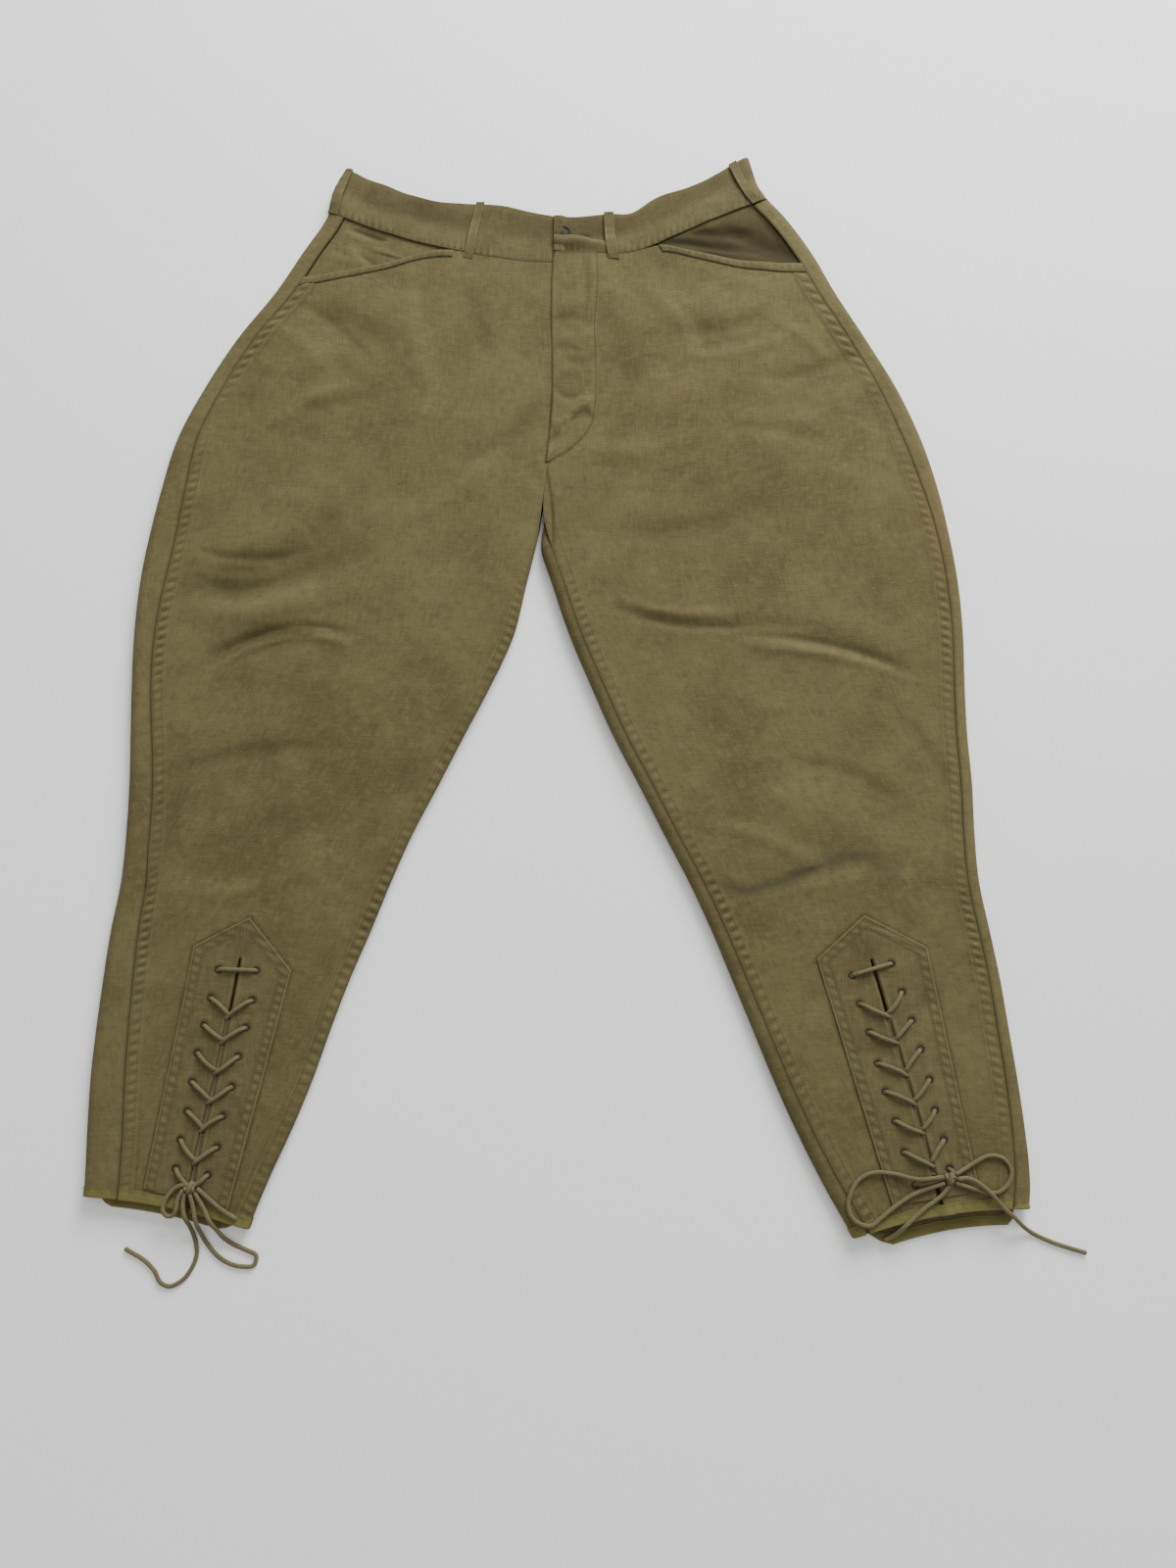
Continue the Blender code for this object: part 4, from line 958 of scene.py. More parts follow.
# Stains and rubs on the upper cloth: kind, start x, y, end x, y, bow, width, depth.
SPOTS = (
    ("stain", 155, -233, 228, -212, -2, 5.0, 0.62),
    ("stain", 226, -212, 290, -200, 4, 6.5, 0.46),
    ("stain", 274, -212, 306, -216, 0, 9, 0.36),
    ("stain", 120, -222, 170, -234, 2, 4, 0.34),
    ("stain", 196, -216, 236, -208, -2, 2.2, 0.4),
    ("rust", 318, 262, 352, 96, 10, 7, 0.42),
    ("rust", 340, 180, 356, 60, 6, 5, 0.4),
    ("stain", -292, -120, -200, -160, 8, 34, 0.10),
    ("stain", -330, 20, -250, -20, 4, 22, 0.10),
    ("worn", 190, -134, 204, -150, 0, 2.0, 0.7),
    ("worn", -112, -114, -104, -120, 0, 1.6, 0.8),
    ("worn", -110, 300, -20, 60, 20, 46, 0.10),
    ("worn", 16, 120, 130, -60, -10, 46, 0.13),
    ("worn", 250, 360, 300, 250, 6, 20, 0.14),
)


def spots(kind, x, y):
    """Marks of one kind: a bell across each line, as folds() makes them."""
    rows = [row[1:] for row in SPOTS if row[0] == kind]
    return np.clip(folds(x, y, rows), 0, 1)


def felled(run, d, width, depth):
    """Relief of a felled seam with two rows of stitches, d in from its edge and run along it:
    a low step, a groove at each row, and uneven puckers between them. Returns relief, rub, and
    painted shade mixed with some grime."""
    phase = 1.3 * np.sin(run / 37.0) + 0.9 * np.sin(run / 61.0 + 1.7) + 0.4 * np.sin(run / 17.0)
    strong = 0.62 + 0.26 * np.sin(run / 53.0 + 0.5) + 0.2 * np.sin(run / 23.0 + 2.1)
    wave = np.sin(2 * math.pi * run / 9.0 + phase + 0.25 * d)
    between = bell(d, width * 0.52, width * 0.33)
    step = ease(width + 1.6, width - 0.4, d)
    rows = bell(d, 1.8, 0.8) + bell(d, width - 1.6, 0.8)
    edge = bell(d, 0.0, 1.1)
    relief = 0.55 * step + depth * strong * wave * between - 0.24 * rows - 0.4 * edge
    rub = step * (0.10 + 0.62 * strong * np.clip(wave, 0, 1) * between)
    rub = rub + 0.34 * bell(d, width + 0.2, 0.9) + 0.4 * bell(d, 1.0, 0.7)
    # Painted shade: darker in the pucker troughs, the stitch grooves, along the seam's edge and just
    # past its step, with some grime.
    shade_and_dirt = step * 0.8 * strong * np.clip(-wave, 0, 1) * between
    shade_and_dirt = shade_and_dirt + 0.35 * rows + 0.42 * edge + 0.35 * bell(d, width + 2.0, 1.2)
    return relief, rub, shade_and_dirt


SEAM_WIDTH = 11.5
SEAM_STEP = 1.25
SEAM_COLUMNS = 11


def slit_shares(leg, levels):
    """For each level, the shares across the front where the slit's two sides lie, and whether the
    slit is open there."""
    shares = np.linspace(0.05, 0.95, 361)
    rows = np.linspace(0.7, 1.0, 61)
    level, share = grid_of(rows, shares)
    points = front_point(leg, level, share)
    middle = smooth_curve(column(SLIT[leg], 1), points[..., 1])
    out = 1 if leg == "right" else -1
    past = (points[..., 0] - middle) * out
    centre = np.array([np.interp(0.0, past[k], shares) for k in range(len(rows))])
    at_y = np.array([np.interp(0.0, past[k], points[k, :, 1]) for k in range(len(rows))])
    top = SLIT[leg][0][0]
    first = int(np.argmax(at_y <= top))
    centre[:first] = centre[first]
    width = front_width(leg, rows)
    half = np.where(at_y <= top, smooth_curve(column(SLIT[leg], 2), at_y), 0.5) / width
    c = np.interp(levels, rows, centre)
    h = np.interp(levels, rows, half)
    y = np.interp(levels, rows, at_y)
    is_open = (y <= top) & (levels > rows[0])
    return c, h, is_open


def edge_columns(width, count):
    """Shares from 0 to 1 for one side of a panel: close together in the seam's strip, then even."""
    close = np.arange(SEAM_COLUMNS) * SEAM_STEP
    close = close[None, :] / width[:, None]
    rest = np.linspace(0, 1, count + 1)[None, 1:]
    far = close[:, -1:] + (1 - close[:, -1:]) * rest
    return np.concatenate([close, far], axis=1)


FRONT_ROWS = 430
FRONT_INNER = 26
FRONT_OUTER = 26


def front_grid(leg):
    """Shares and levels of the front's grid, its open cells, and its distances to the seams."""
    level = np.linspace(0, 1, FRONT_ROWS)
    c, h, is_open = slit_shares(leg, level)
    width = front_width(leg, level)
    left = edge_columns(width * (c - h), FRONT_INNER) * (c - h)[:, None]
    right = edge_columns(width * (1 - c - h), FRONT_OUTER) * (1 - c - h)[:, None]
    share = np.concatenate([left, 1 - right[:, ::-1]], axis=1)
    top = mouth_depth(leg, share)
    level = np.broadcast_to(level[:, None], share.shape)
    s = np.where(level < MOUTH_REACH, top + level * (MOUTH_REACH - top) / MOUTH_REACH, level)
    keep = np.ones((share.shape[0] - 1, share.shape[1] - 1), bool)
    gap_at = left.shape[1] - 1
    keep[:, gap_at] = ~(is_open[:-1] & is_open[1:])
    return s, share, keep, gap_at


def make_front(leg):
    """Front leg: the tube's upper wall from inseam to outseam, with both felled seams, folds and
    marks, open at the slit."""
    s, share, keep, gap_at = front_grid(leg)
    grid = front_point(leg, s, share)
    normal = normals_of(grid, np.array([0.0, 0.0, 1.0]))
    width = front_width(leg, s)
    run = s * LEG_LENGTH
    depth = cloth_settings().pucker / MM
    relief, rub, shade_and_dirt = felled(run, (1 - share) * width, SEAM_WIDTH, depth)
    below = ease(0.2, 0.25, s)
    relief_in, rub_in, shade_and_dirt_in = felled(run + 31.0, share * width, SEAM_WIDTH, depth)
    worked = ease(0.33, 0.45, s)
    relief = relief + relief_in * (0.15 * below + 0.85 * worked)
    rub = rub + rub_in * worked
    shade_and_dirt = shade_and_dirt + shade_and_dirt_in * worked
    x, y = grid[..., 0], grid[..., 1]
    fly = 1 - below
    # Painted shadow in the gap along the fly's edge, wider and darker partway down it.
    fly_shadow_strength = 0.5 + 0.5 * ease(210, 240, y) * ease(345, 305, y)
    shade_and_dirt = shade_and_dirt + 1.1 * fly_shadow_strength * bell(share * width, 0, 2.6 + 1.6 * fly_shadow_strength) * fly
    if leg == "left":
        ridge = bell(share * width, 5.6, 1.3) * ease(195, 225, y) * ease(330, 300, y)
        relief = relief + 0.5 * ridge
        rub = rub + 0.35 * ridge
    else:
        # A shallow groove and a painted dark line of shadow along the crotch gap.
        gusset = bell(x, smooth_curve(CROTCH_LINE, y), 1.1) * ease(186, 176, y) * ease(88, 100, y)
        relief = relief - 0.45 * gusset
        shade_and_dirt = shade_and_dirt + 0.85 * gusset
    # The darkening mark holds painted shade along the seams, the fly and the crotch, in the hollows,
    # and round the lacing panel's edge, with some grime.
    marks = {
        "worn": np.clip(rub + spots("worn", x, y) + ridge_rub(x, y), 0, 1),
        "shade_and_grime": np.clip(shade_and_dirt + painted_hollow_shade(x, y) + 0.6 * bell(edge_distance(leg, x, y), 0.6, 1.1),
                         0, 1),
        "stain": spots("stain", x, y),
        "rust": spots("rust", x, y) * ease(60, 6, (1 - share) * width),
    }
    made = cloth_piece(f"front_{leg}_cloth", grid, normal, CLOTH, leg_twill(),
                       (f"front_{leg}",), (share * width, run), relief, keep, marks)
    return made


def ridge_rub(x, y):
    """Ridges rub paler: a share of how far the folds stand above the cloth round them."""
    up = folds(x, y, FOLDS) * 0.035 + folds(x, y, CREASES) * 0.18 + 0.14 * ripple(x, y)
    return np.clip(up, 0, 0.28)


def painted_hollow_shade(x, y):
    """Painted shade in the hollows: a share of how far the cloth lies below its surroundings."""
    down = folds(x, y, FOLDS) * -0.045 + folds(x, y, CREASES) * -0.26 - 0.20 * ripple(x, y)
    return np.clip(down, 0, 0.4)


BACK_ROWS = 260


def back_grid(leg):
    """Levels and ways round of the back's grid: close together at both rolled edges."""
    level = np.linspace(0, 1, BACK_ROWS)
    half_way = tube_length(leg, level)
    rolled = roll_length(np.full_like(level, ROLL_HALF_HEIGHT)) + ROLL_MARGIN
    start = np.full_like(level, GAP / 2 - INSEAM_AT[leg])
    end = half_way + outseam_at(leg, level) - GAP / 2
    marks = (start, rolled, half_way - rolled, half_way + rolled, end)
    steps = (12, 18, 20, 10)
    columns = []
    for first, last, count in zip(marks, marks[1:], steps):
        columns += [first + (last - first) * k / count for k in range(count)]
    columns.append(end)
    r = np.stack(columns, -1)
    part = (r - rolled[:, None]) / (half_way - 2 * rolled)[:, None]
    shape = ease(0.0, 0.09, part) * ease(1.0, 0.91, part)
    drop = BACK_HEM_DROP[leg] * shape * ease(0.95, 1.0, level)[:, None]
    return level[:, None] + drop, r, half_way[:, None], end[:, None]


BACK_HEM_DROP = {"left": 0.009, "right": 0.016}


def make_back(leg):
    """Back leg: flat on the surface, and rolled up round the leg's edges to both seams."""
    s, r, half_way, end = back_grid(leg)
    grid = tube_point(leg, s, r, -1)
    normal = normals_of(grid)
    middle = grid.shape[1] // 3
    if normal[grid.shape[0] // 2, middle, 2] > 0:
        normal = -normal
    run = s * LEG_LENGTH
    over = ease(half_way - 4, half_way + 12, r)
    d_out = end - r
    soft = np.sin(run / 41.0 + 0.8) + 0.6 * np.sin(run / 19.0 + 2.0)
    phase = 1.3 * np.sin(run / 37.0) + 0.9 * np.sin(run / 61.0 + 1.7)
    wave = np.sin(2 * math.pi * run / 9.0 + phase)
    relief = over * (0.22 * soft - 0.35 * bell(d_out, 0, 1.2) + 0.16 * wave * bell(d_out, 2, 3))
    x, y = grid[..., 0], grid[..., 1]
    d_in = np.abs(r - (GAP / 2 - INSEAM_AT[leg]))
    # Painted shade darkens the back along both seam edges, in the gaps beside the front.
    marks = {
        "shade_and_grime": np.clip(over * 0.7 * bell(d_out, 0, 1.6) + 0.6 * bell(d_in, 0, 1.6), 0, 1),
        "worn": np.clip(over * (0.10 + 0.14 * np.clip(wave, 0, 1) * bell(d_out, 3, 4)), 0, 1),
        "rust": over * spots("rust", x - 10 * np.sign(x), y),
    }
    made = cloth_piece(f"back_{leg}_cloth", grid, normal, CLOTH, leg_twill(),
                       (f"back_{leg}",), (r, run), relief, None, marks)
    return made


BAND_TOP_LIFT = 0.8
BAND_VALLEY = {"at": 0.55, "width": 0.22, "depth": 1.3}
# Where the waistband's top edge dips or stands: x, width, height in y.
BAND_TOP_WAVES = ((70, 16, -6.5), (104, 18, 3.0), (-60, 20, 2.0), (-128, 24, -1.5), (-176, 12, 2.0))


def band_point(leg, s, share, way):
    """Middle of the waistband's wall, from the fly to the side edge: raised along its top and
    sunk along a soft valley, with small waves in its top edge."""
    start = way * INSEAM_AT[leg] + GAP / 2
    end = tube_length(leg, s, BAND_CLOTH) - GAP / 2
    point = tube_point(leg, s, start + (end - start) * share, way, BAND_CLOTH)
    up = -s / BAND_RISE
    if way > 0:
        dip = BAND_VALLEY["depth"] * bell(up, BAND_VALLEY["at"], BAND_VALLEY["width"])
        rise = BAND_TOP_LIFT * ease(0.7, 1.0, up) - dip
        point[..., 2] += rise * ease(1.0, 0.9, share)
        if leg == "right":
            point[..., 1] += waist_step(point[..., 0]) * ease(0.6, 0.0, up)
        for x, width, height in BAND_TOP_WAVES:
            point[..., 1] += height * bell(point[..., 0], x, width) * ease(0.55, 1.0, up)
    return point


def band_relief(leg, up, x, share):
    """Folded edge, seam gathers and creases of the waistband, by the height up it from 0 to 1."""
    gather = bell(up, 0.06, 0.12) * np.sin(2 * math.pi * x / 6.5 + 1.4 * np.sin(x / 21.0))
    slack = 0.6 + 0.4 * np.sin(x / 17.0 + (0.5 if leg == "left" else 2.0))
    soft = 0.5 * np.sin(x / 13.0 + 3.0 * up) * bell(up, 0.5, 0.35)
    soft = soft + 0.3 * np.sin(x / 5.3 - 4.0 * up + 1.5 * np.sin(x / 31.0)) * bell(up, 0.35, 0.25)
    edge = -0.35 * bell(up, 0.0, 0.03) - 0.3 * bell(up, 1.0, 0.02)
    rows = -0.16 * bell(up, 0.07, 0.02) - 0.12 * bell(up, 0.955, 0.016)
    relief = 0.30 * gather * slack + soft + edge + rows
    rub = 0.24 * bell(up, 0.97, 0.05) + 0.24 * np.clip(gather * slack, 0, 1)
    # Painted shade with some grime: darker at the seam, in the gathers' troughs, along the valley, and
    # over the upper part, which tilts away from the light.
    shade_and_dirt = 0.6 * bell(up, 0.0, 0.035) + 0.35 * np.clip(-gather * slack, 0, 1)
    shade_and_dirt = shade_and_dirt + 0.34 * bell(up, BAND_VALLEY["at"], 0.16) * (0.6 + 0.4 * np.sin(x / 29.0))
    shade_and_dirt = shade_and_dirt + (0.20 + 0.10 * np.sin(x / 23.0 + 1.0)) * ease(0.4, 0.7, up)
    return relief, rub, shade_and_dirt


LAP = {"height": 2.4, "over": 4.0, "ridge": 0.50, "fall": 0.24, "puff": 5.0}


def make_band_front(leg):
    """Front half of the waistband. The right half laps over the left at the fly, and its lower
    half puffs out there round the buttonhole."""
    level, share = grid_of(np.linspace(-BAND_SEAM, -BAND_RISE, 44), np.linspace(0, 1, 190))
    if leg == "right":
        length = float(tube_length(leg, BAND_MIDDLE, BAND_CLOTH))
        share = share * (1 + LAP["over"] / length) - LAP["over"] / length
    grid = band_point(leg, level, share, 1)
    up = -level / BAND_RISE
    x = grid[..., 0]
    if leg == "right":
        ridge = LAP["ridge"] - LAP["fall"] * ease(14.0, 54.0, x)
        puff = LAP["puff"] * ease(64.0, 20.0, x) * ease(0.0, 0.8 * ridge, up)
        puff = puff * ease(ridge + 0.05, ridge - 0.01, up) * (1 - 0.2 * bell(x, 36, 9))
        grid[..., 2] += np.maximum(puff, LAP["height"] * ease(7.0, -1.0, x))
    normal = normals_of(grid, np.array([0.0, 0.0, 1.0]))
    relief, rub, shade_and_dirt = band_relief(leg, up, x, share)
    if leg == "right":
        hole = bell(up, 0.57, 0.035) * ease(4, 9, x) * ease(32, 25, x)
        fray = 0.5 + 0.5 * np.sin(x * 1.9) * np.sin(x * 0.83 + 1.0)
        # Painted shade: the buttonhole's dark opening, the shadow along the lapping edge and the shade
        # just above the puff.
        shade_and_dirt = shade_and_dirt + 0.8 * hole + 0.8 * bell(x, -8.4, 1.0)
        shade_and_dirt = shade_and_dirt + 0.55 * bell(up, ridge + 0.06, 0.05) * ease(60, 30, x)
        relief = relief - 0.45 * hole + 0.25 * fray * bell(up, 0.52, 0.03) * ease(36, 26, x)
        rub = rub + 0.6 * fray * bell(up, 0.52, 0.03) * ease(5, 9, x) * ease(36, 26, x)
        rub = rub + 0.35 * bell(up, ridge - 0.04, 0.06) * ease(60, 30, x)
    marks = {"worn": np.clip(rub, 0, 1), "shade_and_grime": np.clip(shade_and_dirt, 0, 1)}
    length = share * float(tube_length(leg, BAND_MIDDLE, BAND_CLOTH))
    made = cloth_piece(f"waistband_{leg}_cloth", grid, normal, BAND_CLOTH, band_twill(),
                       (f"waistband_{leg}",), (length, up * 54), relief,
                       None, marks)


def make_band_back():
    """Back of the waistband, from side edge to side edge, lying on the surface."""
    level, share = grid_of(np.linspace(-BAND_SEAM, -BAND_RISE, 20), np.linspace(0, 1, 70))
    left = band_point("left", level, share, -1)
    right = band_point("right", level, share, -1)
    grid = np.concatenate([left[:, :0:-1], right[:, 1:]], axis=1)
    normal = normals_of(grid)
    if normal[10, grid.shape[1] // 2, 2] > 0:
        normal = -normal
    run = np.concatenate([-share[:, :0:-1], share[:, 1:]], axis=1) * 230
    up = np.concatenate([-level[:, :0:-1], -level[:, 1:]], axis=1) / BAND_RISE
    # Painted shade along the waist seam.
    marks = {"shade_and_grime": 0.35 * bell(up, 0, 0.06), "worn": 0.2 * bell(up, 1, 0.06)}
    made = cloth_piece("waistband_back_cloth", grid, normal, BAND_CLOTH, band_twill(),
                       ("waistband_back",), (run, up * 54), 0.0, None, marks)


FACING_TUCK = 0.004
# Wrinkles of the pocket facings: along the mouth from 0 to 1, down from 0 to 1, in the same
# columns as the folds, in hundredths.
FACING_FOLDS = {
    "left": ((92, 14, 60, 22, 2, 4, -1.0), (96, 22, 64, 32, 2, 4, 0.9), (70, 34, 38, 78, 5, 4, 1.0),
             (60, 46, 34, 84, 4, 3, -1.3), (86, 40, 58, 86, 4, 4, 0.8), (78, 46, 52, 92, 4, 3, -1.0),
             (98, 52, 70, 70, 2, 4, 0.6), (30, 66, 8, 92, 2, 5, 0.5)),
    "right": ((10, 22, 60, 60, 6, 9, -1.6), (34, 16, 84, 40, 5, 8, -1.5), (28, 62, 80, 84, -4, 7, 1.2),
              (60, 18, 96, 74, 4, 8, -1.4), (6, 60, 40, 92, 4, 6, 0.9)),
}


def make_facing(leg):
    """Pocket facing: the cloth seen between the waist seam, the mouth and the outseam, wrinkled,
    and sunk on the side that gapes."""
    down, part = grid_of(np.linspace(0, 1, 54), np.linspace(0, 1, 90))
    share = POCKET_START + (1 - POCKET_START) * part
    end = mouth_depth(leg, share) + FACING_UNDER
    s = end * down - FACING_TUCK * (1 - down)
    grid = front_point(leg, s, share)
    normal = normals_of(grid, np.array([0.0, 0.0, 1.0]))
    grid = grid - normal * (CLOTH + FACING_DROP)
    wrinkle = folds(part * 100, down * 100, FACING_FOLDS[leg])
    sink = 1.3 * bell(down, 0.45, 0.3) * ease(0.1, 0.5, part) if leg == "right" else 0.0
    relief = np.minimum(wrinkle * 1.5 - sink, 0.7) * ease(0.06, 0.2, down) * ease(1.0, 0.93, part)
    shadow = ease(-0.012, 0.002, s - mouth_depth(leg, share))
    # Painted shade: under the mouth, in the wrinkles' hollows, and over the right facing, which lies
    # in shadow where it gapes.
    marks = {
        "worn": np.clip(wrinkle, 0, 1) * 0.34 * (0.3 if leg == "right" else 1.0),
        "shade_and_grime": np.clip(0.25 * shadow + 0.6 * np.clip(-wrinkle, 0, 1)
                         + (0.95 * bell(down, 0.52, 0.5) if leg == "right" else 0), 0, 1),
    }
    width = front_width(leg, s)
    made = cloth_piece(f"pocket_facing_{leg}_cloth", grid, normal, CLOTH, leg_twill(),
                       (f"pocket_facing_{leg}",),
                       (share * width, s * LEG_LENGTH), relief, None, marks)


def make_welt(leg):
    """Rounded welt along the pocket mouth, with a groove at each of its two rows of stitches."""
    down, part = grid_of(np.linspace(0, 1, 15), np.linspace(0, 1, 120))
    share = POCKET_START + (1 - POCKET_START) * part
    s = mouth_depth(leg, share) + WELT_DEPTH * down
    grid = front_point(leg, s, share)
    normal = normals_of(grid, np.array([0.0, 0.0, 1.0]))
    grid = grid + normal * (CLOTH / 2 + GAP / 2 + TRIM / 2)
    run = share * front_width(leg, s)
    wave = np.sin(2 * math.pi * run / 7.5 + 1.2 * np.sin(run / 19.0))
    body = 0.25 * bell(down, 0.45, 0.3) + 0.14 * wave * bell(down, 0.5, 0.3)
    relief = body - 0.16 * bell(down, 0.2, 0.1) - 0.16 * bell(down, 0.8, 0.1)
    thin = 0.25 + 0.75 * ease(0, 0.16, down) * ease(1, 0.86, down)
    # Painted shade along the welt's lower edge and in the troughs between its puckers.
    marks = {
        "worn": 0.22 * bell(down, 0.12, 0.14) + 0.16 * np.clip(wave, 0, 1) * bell(down, 0.5, 0.3),
        "shade_and_grime": 0.5 * bell(down, 1.0, 0.12) + 0.16 * np.clip(-wave, 0, 1) * bell(down, 0.5, 0.3),
    }
    cloth_piece(f"pocket_welt_{leg}_cloth", grid, normal, TRIM, band_twill(),
                (f"pocket_welt_{leg}",), (run, down * 8), relief, None,
                marks, thin)


def on_top(x, y, lift):
    """Points over the upper cloth's outer face."""
    return np.stack([x, y, top_height(x, y) + lift], -1)


# Wrinkles of the fly: across it and down it, in hundredths.
FLY_FOLDS = (
    (6, 12, 60, 14, 2, 2.4, -0.5), (6, 22, 84, 20, 2, 2.6, 0.8), (4, 31, 72, 32, -2, 2.2, -0.8),
    (10, 39, 90, 37, 2, 2.6, 0.7), (2, 46, 60, 47, -2, 2.0, -0.7), (30, 51, 96, 49, 2, 2.4, -0.6),
    (6, 58, 64, 57, -2, 2.4, 0.7), (2, 65, 70, 66, 3, 2.0, -0.8), (20, 72, 92, 70, 3, 2.6, 0.7),
    (94, 79, 40, 84, 5, 2.2, -1.5), (90, 74, 34, 79, 5, 2.8, 1.2), (60, 82, 20, 92, 3, 2.4, 0.9),
    (0, 80, 40, 79, 2, 2.2, 0.8), (0, 90, 36, 89, -2, 2.2, -1.0), (0, 95, 40, 93, 2, 2.2, 0.8),
    (52, 2, 66, 40, 4, 6, 0.45), (70, 4, 74, 30, -3, 5, -0.5),
)


def make_placket():
    """Fly placket: a folded edge over the centre seam on one side, and on the other an edge that
    sinks flush into the front along the J of its stitches."""
    down, share = grid_of(np.linspace(0, 1, 150), np.linspace(0, 1, 44))
    top, foot = FLY_PLACKET[0][0], FLY_PLACKET[-1][0]
    y = top + (foot - top) * down + WAIST_STEP[0] * ease(0.14, 0.0, down)
    left = smooth_curve(column(FLY_PLACKET, 1), y)
    right = smooth_curve(column(FLY_PLACKET, 2), y)
    x = left + (right - left) * share
    from_right = right - x
    lift = 0.12 + (GAP + TRIM / 2 - 0.12) * ease(0, 9, from_right)
    grid = on_top(x, y, lift)
    normal = normals_of(grid, np.array([0.0, 0.0, 1.0]))
    wrinkle = folds(share * 100, down * 100, FLY_FOLDS)
    stitch = bell(from_right, 2.2, 0.8)
    fold = bell(x - left, 0.0, 1.2)
    relief = np.minimum(wrinkle, 1.3) - 0.22 * stitch - 0.35 * fold + 0.25 * bell(x - left, 3.5, 2.5)
    relief = relief * ease(0.0, 1.4, from_right)
    thin = 0.2 + 0.8 * ease(0, 7, from_right)
    # Painted shade: the shadow along the folded edge, the stitch groove, the wrinkles' hollows and the
    # top edge.
    marks = {
        "worn": np.clip(0.26 * bell(x - left, 2.0, 1.6) + 0.26 * np.clip(wrinkle, 0, 1)
                        + 0.3 * bell(from_right, 0.9, 0.6), 0, 1),
        "shade_and_grime": np.clip(0.75 * fold + 0.42 * stitch + 0.5 * np.clip(-wrinkle, 0, 1)
                         + 0.5 * bell(down, 0.0, 0.012), 0, 1),
    }
    made = cloth_piece("fly_placket_cloth", grid, normal, TRIM, leg_twill(),
                       ("fly_placket",), (x, y), relief, None, marks, thin)


def panel_point(leg, down, across):
    """A place on a lacing panel's pentagon: lines from its peaked top to its foot."""
    shape = LACING_PANEL[leg]
    (lx, ly), (rx, ry) = shape["shoulders"]
    ax, ay = shape["apex"]
    (fx, fy), (gx, gy) = shape["feet"]
    peak = (ax - lx) / (rx - lx)
    top_x = lx + (rx - lx) * across
    top_y = np.interp(across, (0, peak, 1), (ly, ay, ry))
    x = top_x + (fx + (gx - fx) * across - top_x) * down
    y = top_y + (fy + (gy - fy) * across - top_y) * down
    return x, y


def panel_grid(leg, rows, cols):
    """The panel's grid on both sides of the slit, and which of its cells there are."""
    down = np.linspace(0, 1, rows)
    trial = np.linspace(0, 1, 201)
    row, across = grid_of(down, trial)
    x, y = panel_point(leg, row, across)
    past = x - smooth_curve(column(SLIT[leg], 1), y)
    centre = np.array([np.interp(0.0, past[k], trial) for k in range(rows)])
    at_y = np.array([np.interp(0.0, past[k], y[k]) for k in range(rows)])
    width = x[:, -1] - x[:, 0]
    top = SLIT[leg][0][0]
    half = np.where(at_y <= top, smooth_curve(column(SLIT[leg], 2), at_y), 0.4) / width
    count = cols // 2
    t = np.linspace(0, 1, count)[None, :]
    t = t - 0.5 * np.sin(2 * math.pi * t) / (2 * math.pi)
    left = t * (centre - half)[:, None]
    right = 1 - (1 - t) * (1 - centre - half)[:, None]
    share = np.concatenate([left, right], axis=1)
    keep = np.ones((rows - 1, 2 * count - 1), bool)
    is_open = at_y <= top
    keep[:, count - 1] = ~(is_open[:-1] & is_open[1:])
    from_slit = np.concatenate([(centre - half)[:, None] - left,
                                right - (centre + half)[:, None]], axis=1) * width[:, None]
    return np.broadcast_to(down[:, None], share.shape), share, keep, from_slit, at_y


def edge_distance(leg, x, y):
    """Distance in from the panel's top and side edges."""
    shape = LACING_PANEL[leg]
    (l, r), (f, g) = shape["shoulders"], shape["feet"]
    corners = [f, l, shape["apex"], r, g]
    near = np.full(np.shape(x), 1e3)
    for (x0, y0), (x1, y1) in zip(corners, corners[1:]):
        length = math.hypot(x1 - x0, y1 - y0)
        ux, uy = (x1 - x0) / length, (y1 - y0) / length
        t = np.clip((x - x0) * ux + (y - y0) * uy, 0, length)
        near = np.minimum(near, np.hypot(x - x0 - t * ux, y - y0 - t * uy))
    return near


